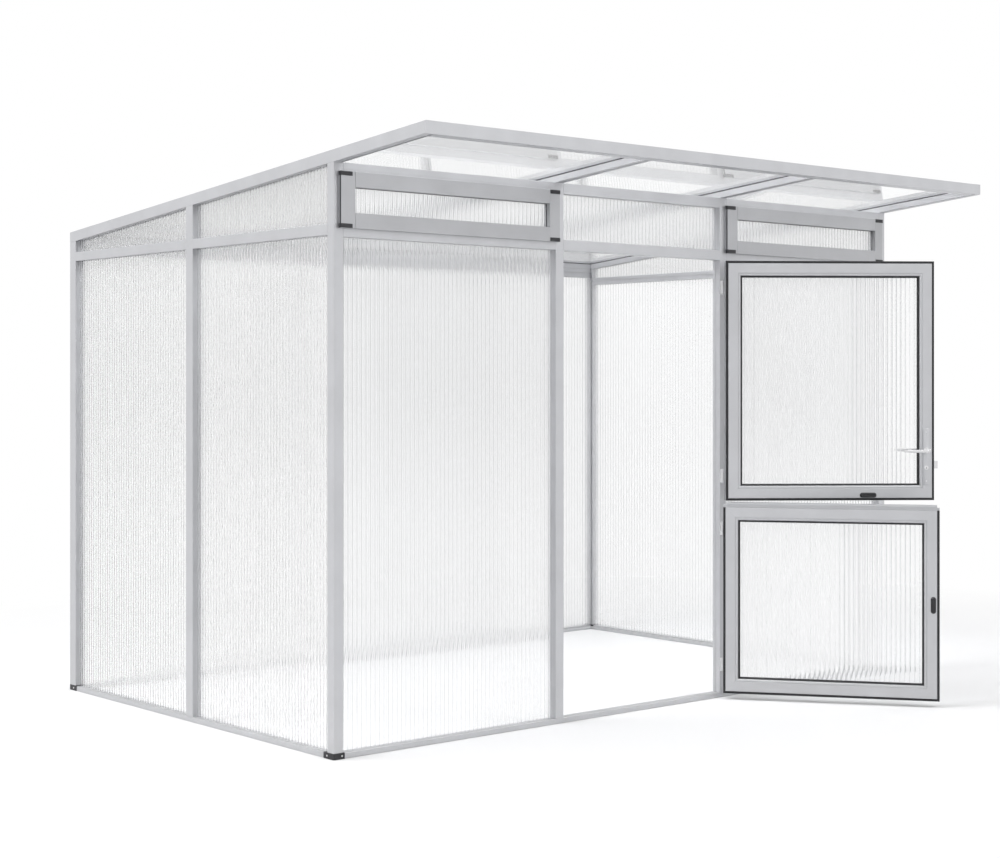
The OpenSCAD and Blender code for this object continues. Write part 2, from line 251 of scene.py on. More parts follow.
def section(width, depth, grooves=(), deep=6 * MM, arris=None):
    """Outline of an extrusion, width across and depth back, with grooves as (side, centre)."""
    arris = sizes().arris if arris is None else arris
    opening = sizes().groove
    corners = [(0, 0), (width, 0), (width, depth), (0, depth)]
    along = {"front": (1, 0), "right": (0, 1), "back": (-1, 0), "left": (0, -1)}
    inward = {"front": (0, 1), "right": (-1, 0), "back": (0, -1), "left": (1, 0)}
    outline = []
    for corner, side in zip(corners, along):
        start = Vector(corner)
        run = Vector(along[side])
        length = width if side in ("front", "back") else depth
        outline.append(tuple(start + run * arris))
        cuts = sorted(c if side in ("front", "right") else length - c for s, c in grooves if s == side)
        for centre in cuts:
            for at, sunk in ((-0.5, 0), (-0.5, 1), (0.5, 1), (0.5, 0)):
                groove = run * (centre + at * opening) + Vector(inward[side]) * deep * sunk
                outline.append(tuple(start + groove))
        outline.append(tuple(start + run * (length - arris)))
    return outline


def make_piece(name, solids, finish_names, body, slot, *nodes, smooth=0):
    """The mesh object for some solids, with its finishes, riding on its body in place of CAD nodes."""
    mesh = bpy.data.meshes.new(name)
    mesh.from_pydata([tuple(p) for p in solids.points], [], solids.faces)
    for finish_name in finish_names:
        mesh.materials.append(finish_called(finish_name))
    mesh.polygons.foreach_set("material_index", solids.finish)
    work = bmesh.new()
    work.from_mesh(mesh)
    bmesh.ops.remove_doubles(work, verts=work.verts, dist=1e-6)
    bmesh.ops.recalc_face_normals(work, faces=work.faces)
    work.to_mesh(mesh)
    work.free()
    mesh.update()
    obj = bpy.data.objects.new(name, mesh)
    bpy.context.scene.collection.objects.link(obj)
    if smooth:
        mesh.shade_smooth()
        mesh.set_sharp_from_angle(angle=math.radians(smooth))
    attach(obj, body)
    if nodes:
        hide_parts(*nodes)
    return obj


# ---------------------------------------------------------------- shader wiring

class Wires:
    """Adds nodes to one shader tree. A value given for a socket is linked if it is a socket itself."""

    def __init__(self, tree):
        self.nodes = tree.nodes
        self.links = tree.links

    def feed(self, socket, value):
        if isinstance(value, bpy.types.NodeSocket):
            self.links.new(value, socket)
        else:
            socket.default_value = value

    def node(self, kind, inputs, **settings):
        node = self.nodes.new("ShaderNode" + kind)
        for label, value in settings.items():
            setattr(node, label, value)
        for label, value in inputs.items():
            self.feed(node.inputs[label], value)
        return node

    def found(self, kind):
        return next(n for n in self.nodes if n.type == kind)

    def place(self):
        return self.node("TexCoord", {}).outputs["Object"]

    def height(self):
        return self.node("SeparateXYZ", {0: self.place()}).outputs["Z"]

    def maths(self, operation, *values):
        return self.node("Math", dict(enumerate(values)), operation=operation).outputs[0]

    def stretched(self, direction):
        return self.node("VectorMath", {0: self.place(), 1: direction}, operation="MULTIPLY").outputs[0]

    def noise(self, vector, scale, detail, roughness=0.5):
        return self.node("TexNoise", {"Vector": vector, "Scale": scale, "Detail": detail,
                                      "Roughness": roughness}).outputs["Fac"]

    def ranged(self, value, from_min, from_max, to_min, to_max, interpolation="LINEAR"):
        node = self.node("MapRange", {"Value": value, "From Min": from_min, "From Max": from_max,
                                      "To Min": to_min, "To Max": to_max}, interpolation_type=interpolation)
        return node.outputs["Result"]

    def blended(self, mask, plain, marked):
        """Two colours mixed by a mask."""
        node = self.node("Mix", {"Factor": mask}, data_type="RGBA")
        self.feed(node.inputs["A"], plain)
        self.feed(node.inputs["B"], marked)
        return node.outputs["Result"]

    def bumped(self, height, strength, distance):
        node = self.node("Bump", {"Strength": strength, "Distance": distance, "Height": height})
        return node.outputs["Normal"]

    def mixed_shaders(self, share, first, second):
        return self.node("MixShader", {"Fac": share, 1: first, 2: second}).outputs[0]

    def group(self, tree, **values):
        node = self.nodes.new("ShaderNodeGroup")
        node.node_tree = tree
        for label, value in values.items():
            node.inputs[label.replace("_", " ")].default_value = value
        return node.outputs

    def seen_by(self, *rays):
        """1 for rays that the camera or one of the named rays sends, 0 for rays that light a surface."""
        path = self.node("LightPath", {}).outputs
        total = path["Is Camera Ray"]
        for ray in rays:
            total = self.maths("MAXIMUM", total, path[ray])
        return total


def effect(name, inputs, wire):
    """The named node group, built once. wire(wires, given) returns what each output shows."""
    if name in bpy.data.node_groups:
        return bpy.data.node_groups[name]
    tree = bpy.data.node_groups.new(name, "ShaderNodeTree")
    for label, value in inputs.items():
        kind = "NodeSocketVector" if isinstance(value, tuple) else "NodeSocketFloat"
        tree.interface.new_socket(label, in_out="INPUT", socket_type=kind).default_value = value
    wires = Wires(tree)
    shown = wire(wires, tree.nodes.new("NodeGroupInput").outputs)
    result = tree.nodes.new("NodeGroupOutput")
    for label, socket in shown.items():
        tree.interface.new_socket(label, in_out="OUTPUT", socket_type="NodeSocketFloat")
        wires.feed(result.inputs[label], socket)
    return tree


# ---------------------------------------------------------------- surface effects

def drawn_grain():
    """Faint lines and patches left on a bar by the die and by handling."""
    def wire(wires, given):
        lines = wires.noise(wires.stretched(given["Direction"]), given["Line Scale"], 2.0)
        patches = wires.noise(wires.place(), given["Patch Scale"], 4.0, 0.6)
        both = wires.maths("MULTIPLY_ADD", lines, 0.5, wires.maths("MULTIPLY", patches, 0.5))
        gloss = wires.ranged(both, 0.3, 0.7, given["Low"], given["High"])
        return {"Roughness": gloss, "Height": lines, "Patches": patches}
    return effect("Drawn Grain", {"Direction": (1.0, 1.0, 0.02), "Line Scale": 900.0, "Patch Scale": 7.0,
                                  "Low": 0.3, "High": 0.5}, wire)


def settled_dust():
    """A mask of fine dust that lies thicker low down, close to the ground."""
    def wire(wires, given):
        falloff = wires.ranged(wires.height(), 0.0, given["Reach"], 1.0, 0.0)
        speck = wires.noise(wires.place(), given["Scale"], 6.0, 0.7)
        return {"Mask": wires.maths("MULTIPLY", wires.maths("MULTIPLY", falloff, speck), given["Amount"])}
    return effect("Settled Dust", {"Reach": 0.35, "Amount": 0.25, "Scale": 40.0}, wire)


def melt_flow():
    """Streaks that the melt leaves in clear plastic as it is drawn, for its tint and polish."""
    def wire(wires, given):
        streaks = wires.noise(wires.stretched(given["Direction"]), given["Scale"], 0.0)
        return {"Flow": streaks, "Roughness": wires.ranged(streaks, 0.0, 1.0, given["Low"], given["High"])}
    return effect("Melt Flow", {"Direction": (1.0, 1.0, 0.02), "Scale": 60.0,
                                "Low": 0.0, "High": 0.012}, wire)


def painted_sheet_glow():
    """Painted glow that stands in for light scattered inside a sheet: stronger low down as if the pale floor
    lit it, set by height alone.
    """
    def wire(wires, given):
        return {"Glow": wires.ranged(wires.height(), given["Start"], given["End"],
                                     given["Bottom"], given["Top"], "SMOOTHSTEP")}
    return effect("Painted Sheet Glow", {"Bottom": 0.96, "Top": 0.80, "Start": 0.45, "End": 1.35}, wire)


def moulded_skin():
    """The fine pitting of moulded plastic and rubber."""
    def wire(wires, given):
        pits = wires.node("TexVoronoi", {"Vector": wires.place(), "Scale": given["Pit Scale"]})
        rubs = wires.noise(wires.place(), 30.0, 5.0)
        gloss = wires.ranged(rubs, 0.3, 0.7, given["Low"], given["High"])
        return {"Roughness": gloss, "Height": pits.outputs["Distance"], "Shade": rubs}
    return effect("Moulded Skin", {"Pit Scale": 900.0, "Low": 0.4, "High": 0.6}, wire)


# ---------------------------------------------------------------- finishes

DUST = (0.50, 0.49, 0.47, 1)
LAMP_SHADE = (0.975, 0.977, 0.98, 1)  # what a clear skin leaves of lamp light
# rays past this depth show the painted glow of the sheets instead of what is behind them
LOST_DEPTH = 8.5  # turns after which a ray inside the sheets counts as scattered


def shaded(colour, factor):
    return tuple(min(1.0, c * factor) for c in colour)


def opaque(colour, factor):
    return (*shaded(colour, factor), 1)


def new_material(name):
    """A new material with its wires, the sockets of its shader and the socket of its surface."""
    material = bpy.data.materials.new(name)
    material.use_nodes = True
    wires = Wires(material.node_tree)
    return material, wires, wires.found("BSDF_PRINCIPLED"), wires.found("OUTPUT_MATERIAL").inputs["Surface"]


def metal(name, colour, direction, rough, metallic, bump=0.06):
    material, wires, shader, _ = new_material(name)
    grain = wires.group(drawn_grain(), Direction=direction, Low=rough[0], High=rough[1])
    dust = wires.group(settled_dust(), Amount=0.30)
    marks = wires.ranged(grain["Patches"], 0.35, 0.65, 0.0, 1.0)
    clean = wires.blended(marks, opaque(colour, 0.97), opaque(colour, 1.03))
    wires.feed(shader.inputs["Base Color"], wires.blended(dust["Mask"], clean, DUST))
    wires.feed(shader.inputs["Metallic"], metallic)
    wires.feed(shader.inputs["Roughness"], grain["Roughness"])
    wires.feed(shader.inputs["Normal"], wires.bumped(grain["Height"], bump, 0.0004))
    return material


def aluminium(name, factor, direction):
    """Satin anodised aluminium, with its grain along the axis whose scale in direction is small."""
    return metal(name, shaded(finishes().aluminium, factor), direction, (0.34, 0.46), 0.75)


def moulded(name, colour, pits, rough, strength):
    material, wires, shader, _ = new_material(name)
    skin = wires.group(moulded_skin(), Pit_Scale=pits, Low=rough[0], High=rough[1])
    tint = wires.blended(skin["Shade"], opaque(colour, 0.8), opaque(colour, 1.5))
    wires.feed(shader.inputs["Base Color"], tint)
    wires.feed(shader.inputs["Roughness"], skin["Roughness"])
    wires.feed(shader.inputs["Normal"], wires.bumped(skin["Height"], strength, 0.0003))
    return material


def clear_plastic(name, colour, streak=(1, 1, 0.02), scale=60.0, bump=0.0, milk=0.0):
    """Clear glossy plastic that bends what is behind it and lets lamp light through, with a painted glow
    where rays turn many times inside it.
    """
    material, wires, shader, surface = new_material(name)
    shader.inputs["Transmission Weight"].default_value = 1.0 - milk
    shader.inputs["IOR"].default_value = 1.50
    flow = wires.group(melt_flow(), Direction=streak, Scale=scale)
    tint = wires.blended(flow["Flow"], opaque(colour, 0.994), opaque(colour, 1.006))
    wires.feed(shader.inputs["Base Color"], tint)
    wires.feed(shader.inputs["Roughness"], flow["Roughness"])
    if bump:
        wires.feed(shader.inputs["Normal"], wires.bumped(flow["Flow"], bump, 0.0006))
    path = wires.node("LightPath", {}).outputs
    # painted glow: light that has turned many times inside the sheets comes out as an even white, brighter
    # low down by height
    glow = wires.group(painted_sheet_glow())
    even = wires.node("Emission", {"Color": glow["Glow"]})
    lost = wires.maths("GREATER_THAN", path["Ray Depth"], LOST_DEPTH)
    body = wires.mixed_shaders(lost, shader.outputs[0], even.outputs[0])
    through = wires.node("BsdfTransparent", {"Color": LAMP_SHADE})
    wires.feed(surface, wires.mixed_shaders(path["Is Shadow Ray"], body, through.outputs[0]))
    material.cycles.emission_sampling = "NONE"
    return material


FINISHES = {
    "aluminium upright": ("Aluminium, drawn upright", lambda name: aluminium(name, 1.0, (1, 1, 0.02))),
    "aluminium across": ("Aluminium, drawn across", lambda name: aluminium(name, 1.0, (0.02, 1, 1))),
    "aluminium back": ("Aluminium, drawn front to back", lambda name: aluminium(name, 1.0, (1, 0.02, 1))),
    # a darker copy of the aluminium: painted shade for the vent sashes under the canopy
    "aluminium sash": ("Aluminium with painted shade, sash", lambda name: aluminium(name, 0.80, (0.02, 1, 1))),
    # a slightly darker copy of the aluminium: painted shade for the door leaves, which stand at another angle
    # to the light
    "leaf aluminium with painted shade": ("Aluminium with painted shade, door leaf", lambda name: aluminium(name, 0.94, (1, 1, 1))),
    "polished steel": ("Polished steel", lambda name: metal(
        name, finishes().steel, (1, 1, 1), (0.12, 0.22), 1.0, 0.02)),
    "satin steel": ("Satin steel", lambda name: metal(
        name, finishes().steel, (1, 1, 0.05), (0.28, 0.40), 0.9, 0.05)),
    "black plastic": ("Black plastic", lambda name: moulded(
        name, finishes().black, 1100, (0.42, 0.58), 0.25)),
    "black rubber": ("Black rubber", lambda name: moulded(
        name, finishes().rubber, 1500, (0.55, 0.75), 0.2)),
    "twin-wall skin": ("Twin-wall skin", lambda name: clear_plastic(name, finishes().sheet, milk=0.10)),
    # a darker copy of the sheet colour: painted shade for the tapered sheets under the roof
    "twin-wall painted shade": ("Twin-wall skin, under the roof", lambda name: clear_plastic(
        name, shaded(finishes().sheet, 0.86), milk=0.10)),
    "twin-wall cell": ("Twin-wall cell", lambda name: clear_plastic(name, (0.998, 0.998, 0.998))),
    "roof pane": ("Roof pane", lambda name: clear_plastic(name, finishes().pane, (1, 0.05, 1), 12.0, 0.05)),
}
TWIN_WALL = ["twin-wall skin", "twin-wall cell"]
CELL_FINISH = 1  # place of the cell's finish in TWIN_WALL


def finish_called(key):
    """The material of a finish, made when a piece first asks for it."""
    name, make = FINISHES[key]
    return bpy.data.materials.get(name) or make(name)


# ---------------------------------------------------------------- bars of the house

def upright(solids, outline, x, y, z0, top):
    """A post with its section's corner at x, y, its head cut to the line top(y)."""
    solids.loft([
        [(x + a, y + b, z0) for a, b in outline],
        [(x + a, y + b, top(y + b)) for a, b in outline]])


def bar_across(solids, outline, x0, x1, y, z):
    """A rail along X: its section's a runs up and b runs back."""
    solids.loft([[(x, y + b, z + a) for a, b in outline] for x in (x0, x1)])


def bar_back(solids, outline, y0, y1, x, height):
    """A rail along Y: its section's a runs along X and b up from the line height(y)."""
    solids.loft([[(x + a, y, height(y) + b) for a, b in outline] for y in (y0, y1)])


def mirrored(solids):
    """The solids and their mirror image on the right half of the house."""
    first = len(solids.points)
    count = len(solids.faces)
    solids.points += [Vector((-p.x, p.y, p.z)) for p in solids.points]
    solids.faces += [[first + i for i in reversed(face)] for face in solids.faces[:count]]
    solids.finish += solids.finish[:count]
    return solids


def screw(solids, at, facing, radius=0.0042, finish=1):
    """A low pan-head screw with a dished middle."""
    solids.pillar(at, facing, [(-0.0004, radius), (0.0009, radius), (0.0019, radius * 0.72),
                               (0.0021, radius * 0.42), (0.0012, radius * 0.30)], 14, finish)


class GREENHOUSE_OT_base(bpy.types.Operator):
    """Base rails on the ground, with a raised sill in front of the sheets and a lower ledge inside"""
    bl_idname = "greenhouse.base"
    bl_label = "Base Rails"

    def execute(self, context):
        sill, ledge, width = 42 * MM, 14 * MM, BASE_W
        arris = sizes().arris
        outline = eased([(0, 0), (BASE_H, 0), (BASE_H, sill), (ledge, sill), (ledge, width - 6 * MM),
                         (ledge - 4 * MM, width), (0, width)], arris)
        x0 = low("base_front").x
        solids = Solids()
        bar_across(solids, outline, x0, -x0, Y_FRONT, 0)
        bar_across(solids, [(a, -b) for a, b in outline], x0, -x0, Y_BACK, 0)
        for z in (5 * MM, 12 * MM):
            bar_across(solids, [(0, 0), (0.8 * MM, 0), (0.8 * MM, 0.6 * MM), (0, 0.6 * MM)],
                       x0, -x0, Y_FRONT - 0.5 * MM, z)
        make_piece("base_rails_front_back", solids, ["aluminium across"], "house", "frame",
                   "base_front", "base_back")
        sides = Solids()
        turned = [(b, a) for a, b in outline]
        bar_back(sides, turned, low("base_sides").y, high("base_sides").y, X_LEFT, lambda _: 0.0)
        mirrored(sides)
        make_piece("base_rails_sides", sides, ["aluminium back"], "house", "frame", "base_sides")
        return {"FINISHED"}


class GREENHOUSE_OT_feet(bpy.types.Operator):
    """Moulded corner feet with a rounded outer corner and a screw"""
    bl_idname = "greenhouse.feet"
    bl_label = "Corner Feet"

    def execute(self, context):
        lo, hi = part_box("corner_feet")
        reach_x = low("base_front").x - lo.x
        reach_y = low("base_sides").y - lo.y
        lift = hi.z
        solids = Solids()
        for y_out, toward in ((lo.y, 1), (hi.y, -1)):
            corner = [(reach_x, 0), (reach_x, reach_y), (0, reach_y)]
            radius = 7 * MM
            for i in range(6):
                turn = math.pi + math.pi / 2 * i / 5
                corner.append((radius + radius * math.cos(turn), radius + radius * math.sin(turn)))
            inner = [(reach_x, 0), (reach_x, 23 * MM), (43 * MM, 23 * MM), (43 * MM, 42 * MM),
                     (23 * MM, 42 * MM), (23 * MM, reach_y), (0, reach_y)] + corner[3:]
            block = [(x, toward * y) for x, y in corner]
            rim = [(x, toward * y) for x, y in inner]
            solids.loft([[(lo.x + x, y_out + y, z) for x, y in block] for z in (0.0, BASE_H - 0.5 * MM)])
            shrink = [(x + (0.8 * MM if x < 3 * MM else 0), y) for x, y in rim]
            solids.loft([[(lo.x + x, y_out + y, z) for x, y in ring]
                         for ring, z in ((rim, BASE_H - 0.6 * MM), (rim, lift - 0.7 * MM), (shrink, lift))])
            screw(solids, (lo.x, y_out + toward * 40 * MM, lift * 0.5), (-1, 0, 0), 3.4 * MM)
            screw(solids, (lo.x + 36 * MM, y_out, lift * 0.5), (0, -toward, 0), 3.4 * MM)
        mirrored(solids)
        make_piece("corner_feet_moulded", solids, ["black plastic", "satin steel"], "house", "plastic",
                   "corner_feet", smooth=35)
        return {"FINISHED"}


class GREENHOUSE_OT_posts(bpy.types.Operator):
    """Corner posts, jambs and middle posts, with fixing grooves on their inner sides"""
    bl_idname = "greenhouse.posts"
    bl_label = "Posts"

    def execute(self, context):
        z_foot = low("post_front_left").z
        half = POST_W / 2
        corner = section(POST_W, POST_D)
        deep = Y_BACK - Y_BACK_POST
        sides = (("left", X_LEFT, "right"), ("right", X_RIGHT - POST_W, "left"))
        for side, x, _ in sides:
            post = Solids()
            upright(post, corner, x, Y_FRONT, z_foot, roof_low)
            self.piece("corner_post_front_" + side, post, "post_front_" + side)
        for side, x, inner in sides:
            post = Solids()
            grooved = section(POST_W, deep, [(inner, 6 * MM)], 5 * MM)
            upright(post, grooved, x, Y_BACK_POST, z_foot, roof_low)
            self.piece("corner_post_back_" + side, post, "post_back_" + side)
        jamb = section(POST_W, POST_D, [("back", half)])
        latch_lo, latch_hi = self.mortise()
        # the left jamb is cut for the latch by a slot that is open towards the doorway
        left = Solids()
        x0 = X_JAMB_L - POST_W
        lip, slot_back, slot_deep = 4 * MM, 24 * MM, 18 * MM
        upright(left, jamb, x0, Y_FRONT, BASE_H, lambda _: latch_lo)
        for outline, y in ((section(POST_W, POST_D - slot_back, [("back", half)]), slot_back),
                           (section(POST_W, lip, arris=0.5 * MM), 0),
                           (section(POST_W - slot_deep, slot_back - lip, arris=0.2 * MM), lip)):
            upright(left, outline, x0, Y_FRONT + y, latch_lo, lambda _: latch_hi)
        upright(left, jamb, x0, Y_FRONT, latch_hi, roof_low)
        self.piece("door_jamb_left", left, "jamb_left")
        # the right jamb carries a narrow stop in the doorway
        right = Solids()
        upright(right, jamb, X_JAMB_R, Y_FRONT, BASE_H, roof_low)
        right.box((X_JAMB_R, Y_FRONT + 24 * MM, BASE_H + MM),
                  (X_JAMB_R - 1.6 * MM, Y_FRONT + 30 * MM, TRANSOM[0] - MM), 0.5 * MM)
        self.piece("door_jamb_right", right, "jamb_right")
        middle = Solids()
        wide = Y_MID_POST[1] - Y_MID_POST[0]
        upright(middle, section(POST_D, wide, [("right", wide / 2)]),
                X_LEFT, Y_MID_POST[0], BASE_H, roof_low)
        self.piece("middle_posts_sides", mirrored(middle), "posts_side_middle")
        back = Solids()
        for x in (x0, X_JAMB_R):
            upright(back, section(POST_W, POST_D, [("front", half)]),
                    x, Y_BACK - POST_D, BASE_H, lambda _: SIDE_RAIL[1])
        self.piece("middle_posts_back", back, "posts_back_middle")
        return {"FINISHED"}

    def piece(self, name, solids, node):
        make_piece(name, solids, ["aluminium upright"], "house", "frame", node)

    def mortise(self):
        """The slot in the left jamb runs 5 mm above and below the latch."""
        lo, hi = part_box("lock_latch")
        return lo.z - 5 * MM, hi.z + 5 * MM


class GREENHOUSE_OT_rails(bpy.types.Operator):
    """Transom, head and side rails and the beam under the back of the roof"""
    bl_idname = "greenhouse.rails"
    bl_label = "Rails"

    def execute(self, context):
        tall = TRANSOM[1] - TRANSOM[0]
        transom = Solids()
        for bay in FRONT_BAYS:
            bar_across(transom, section(tall, POST_D, [("back", tall / 2)], 5 * MM),
                       bay[0], bay[1], Y_FRONT, TRANSOM[0])
        make_piece("transom_rail", transom, ["aluminium across"], "house", "frame", "rail_front_transom")
        head = Solids()
        for bay in FRONT_BAYS:
            ring = eased([(HEAD_Z, 0), (HEAD_Z, POST_D), (roof_low(Y_FRONT + POST_D), POST_D),
                          (roof_low(Y_FRONT), 0)], sizes().arris)
            head.loft([[(x, Y_FRONT + b, z) for z, b in ring] for x in bay])
            head.box((bay[0], Y_FRONT - 0.6 * MM, HEAD_Z + 20 * MM), (bay[1], Y_FRONT, HEAD_Z + 21.2 * MM))
        make_piece("head_rail", head, ["aluminium across"], "house", "frame", "rail_front_head")
        sides = Solids()
        up = SIDE_RAIL[1] - SIDE_RAIL[0]
        for bay in SIDE_BAYS:
            bar_back(sides, section(POST_D, up, [("right", up / 2)], 5 * MM),
                     bay[0], bay[1], X_LEFT, lambda _: SIDE_RAIL[0])
        mirrored(sides)
        make_piece("mid_rails_sides", sides, ["aluminium back"], "house", "frame", "rails_side")
        beam = Solids()
        y0 = Y_BACK - POST_D
        foot = SIDE_RAIL[1]
        mid = (foot + roof_low(y0)) / 2
        half, deep = 3.5 * MM, 5 * MM
        ring = [(foot, y0), (mid - half, y0), (mid - half, y0 + deep), (mid + half, y0 + deep),
                (mid + half, y0), (roof_low(y0), y0), (roof_low(Y_BACK), Y_BACK), (foot, Y_BACK)]
        beam.loft([[(x, y, z) for z, y in ring] for x in (X_LEFT + POST_W, X_RIGHT - POST_W)])
        make_piece("back_beam", beam, ["aluminium across"], "house", "frame", "beam_back")
        return {"FINISHED"}


class GREENHOUSE_OT_roof_bars(bpy.types.Operator):
    """Side bars, rafters, fascia and back bar of the roof"""
    bl_idname = "greenhouse.roof_bars"
    bl_label = "Roof Bars"

    def execute(self, context):
        half = POST_W / 2
        for side, x, at in (("left", X_LEFT, POST_W - 8 * MM), ("right", X_RIGHT - POST_W, 8 * MM)):
            plain = section(POST_W, ROOF_BAR)
            grooved = section(POST_W, ROOF_BAR, [("front", at)], deep=8 * MM)
            groove_end = Y_CANOPY + 6 * MM
            bar = Solids()
            bar_back(bar, plain, Y_CANOPY, groove_end, x, roof_low)
            bar_back(bar, grooved, groove_end, Y_BACK, x, roof_low)
            make_piece("roof_side_bar_" + side, bar, ["aluminium back"], "house", "frame", "roof_bar_" + side)
        rafters = Solids()
        grooved = section(POST_W, ROOF_BAR, [("front", half)])
        for x in (low("roof_rafters").x, high("roof_rafters").x - POST_W):
            bar_back(rafters, grooved, Y_CANOPY + POST_D, Y_BACK - POST_D, x, roof_low)
        make_piece("rafters", rafters, ["aluminium back"], "house", "frame", "roof_rafters")
        x0, x1 = X_LEFT + POST_W, X_RIGHT - POST_W
        for name, node, y in (("fascia", "roof_fascia", Y_CANOPY),
                              ("roof_back_bar", "roof_bar_back", Y_BACK - POST_D)):
            bar = Solids()
            ring = section(POST_D, ROOF_BAR)
            bar.loft([[(x, y + a, roof_low(y + a) + b) for a, b in ring] for x in (x0, x1)])
            make_piece(name, bar, ["aluminium across"], "house", "frame", node)
        return {"FINISHED"}


class GREENHOUSE_OT_roof_panes(bpy.types.Operator):
    """Clear roof panes with a black gasket round each"""
    bl_idname = "greenhouse.roof_panes"
    bl_label = "Roof Panes"

    def execute(self, context):
        y0, y1 = Y_CANOPY + POST_D, Y_BACK - POST_D
        proud = high("roof_panes").z - roof_top(y0)
        pane = 4 * MM

        def at(x, y, dz):
            return x, y, roof_top(y) + proud + dz

        def strip(edge, inward):
            """Section of a gasket under the pane's edge."""
            lip = edge + inward * 2 * MM
            return [(edge, -pane - 2.5 * MM), (lip, -pane - 1.5 * MM), (lip, -pane), (edge, -pane)]

        panes, gaskets = Solids(), Solids()
        for bay in FRONT_BAYS:
            x0, x1 = bay[0] - SEAT, bay[1] + SEAT
            ring = [(x0, -pane), (x1, -pane), (x1, 0), (x0, 0)]
            panes.loft([[at(x, y, dz) for x, dz in ring] for y in (y0 - SEAT, y1 + SEAT)])
            for x, inward in zip(bay, (1, -1)):
                gaskets.loft([[at(a, y, dz) for a, dz in strip(x, inward)] for y in (y0, y1)])
            gaskets.loft([[at(x, b, dz) for b, dz in strip(y1, -1)] for x in bay])
        make_piece("roof_panes_clear", panes, ["roof pane"], "house", "pane", "roof_panes")
        make_piece("roof_gaskets", gaskets, ["black rubber"], "house", "seal")
        return {"FINISHED"}


# ---------------------------------------------------------------- twin-wall sheets

def ribbed_sheet(solids, length, depth, place, skin_finish=0):
    """A twin-wall sheet as one solid, with a row of cells drawn along it.
    place(along, back, end) gives the point, where end is 0 or 1 of the cells' ends."""
    pitch, web, skin = sizes().web_pitch, sizes().web, sizes().skin
    cells = max(1, round(length / pitch))
    pitch = length / cells
    arc = 9  # points along the curved front or back of a cell
    sides = 2 * arc
    half_wide, half_deep = (pitch - web) / 2, depth / 2 - skin
    hole, edge = [], []
    for face in (1, -1):
        for k in range(arc):
            t = face * (1 - 2 * k / (arc - 1))
            hole.append((t * half_wide, face * (half_deep - sizes().cell_bulge * t * t)))
            edge.append((t * pitch / 2, face * depth / 2))
    # a cell's two sides are left open to the next cell, but for the sides that end the sheet
    joins = {arc - 1: 0, sides - 1: cells - 1}
    for cell in range(cells):
        middle = (cell + 0.5) * pitch
        points = [place(middle + a, depth / 2 + b, end) for end in (0, 1) for a, b in hole + edge]
        walls, skins = [], []
        for k in range(sides):
            j = (k + 1) % sides
            hole_near, edge_near, hole_far, edge_far = [(n + k, n + j) for n in range(0, 4 * sides, sides)]
            walls.append([*hole_near, *hole_far[::-1]])
            skins.append([*hole_near, *edge_near[::-1]])
            skins.append([*hole_far, *edge_far[::-1]])
            if joins.get(k, cell) == cell:
                skins.append([*edge_near, *edge_far[::-1]])
        solids.add(points, walls + skins, skin_finish)
        start = len(solids.finish) - len(walls + skins)
        solids.finish[start:start + len(walls)] = [CELL_FINISH] * len(walls)


def sheet_across(solids, x0, x1, y, z0, z1, depth):
    ribbed_sheet(solids, x1 - x0, depth, lambda a, b, end: (x0 + a, y + b, (z0, z1)[end]))


def sheet_back(solids, y0, y1, x, z0, top, skin_finish=0):
    def place(a, b, end):
        return x + b, y0 + a, top(y0 + a) if end else z0
    ribbed_sheet(solids, y1 - y0, SHEET_T, place, skin_finish)


def sheet_piece(name, sheet, body, node, more=()):
    make_piece(name, sheet, [*TWIN_WALL, *more], body, "sheet", node, smooth=50)


class GREENHOUSE_OT_wall_sheets(bpy.types.Operator):
    """Twin-wall sheets of the four walls, seated in the bars round them"""
    bl_idname = "greenhouse.wall_sheets"
    bl_label = "Wall Sheets"

    def execute(self, context):
        front = Solids()
        y = SHEET_Y[0]
        for i, (x0, x1) in enumerate(FRONT_BAYS):
            z0, z1 = (TRANSOM[1], HEAD_Z) if i == 1 else (BASE_H, TRANSOM[0])
            sheet_across(front, x0 - SEAT, x1 + SEAT, y, z0 - SEAT, z1 + SEAT, SHEET_T)
        sheet_piece("front_wall_sheets", front, "house", "sheets_front")
        for side in ("left", "right"):
            x = low("sheets_" + side).x
            sheets = Solids()
            for y0, y1 in SIDE_BAYS:
                sheet_back(sheets, y0 - SEAT, y1 + SEAT, x, BASE_H - SEAT, lambda _: SIDE_RAIL[0] + SEAT)
                # the tapered sheets under the roof take the skin with painted shade
                sheet_back(sheets, y0 - SEAT, y1 + SEAT, x, SIDE_RAIL[1] - SEAT,
                           lambda y: roof_low(y) + SEAT, len(TWIN_WALL))
            sheet_piece(side + "_wall_sheets", sheets, "house", "sheets_" + side, ["twin-wall painted shade"])
        back = Solids()
        y = low("sheets_back").y
        for x0, x1 in FRONT_BAYS:
            sheet_across(back, x0 - SEAT, x1 + SEAT, y, BASE_H - SEAT, SIDE_RAIL[1] + SEAT, SHEET_T)
        sheet_piece("back_wall_sheets", back, "house", "sheets_back")
        return {"FINISHED"}


# ---------------------------------------------------------------- vents

def mitred(solids, x0, x1, z0, z1, outline, place, finish=0, joint_gap=0.0):
    """Four bars round a rectangle with mitred corners. outline holds (inset, back) pairs."""
    def corner(d, k):
        x = x0 + d if k in (0, 3) else x1 - d
        z = z0 + d if k in (0, 1) else z1 - d
        return x, z
    for k in range(4):
        rings = []
        for end in (k, (k + 1) % 4):
            ring = []
            for d, b in outline:
                x, z = corner(d, end)
                other_x, other_z = corner(d, (k + 1) % 4 if end == k else k)
                span = max(abs(other_x - x), abs(other_z - z))
                shift = joint_gap / span
                ring.append(place(x + (other_x - x) * shift, b, z + (other_z - z) * shift))
            rings.append(ring)
        solids.loft(rings, finish)


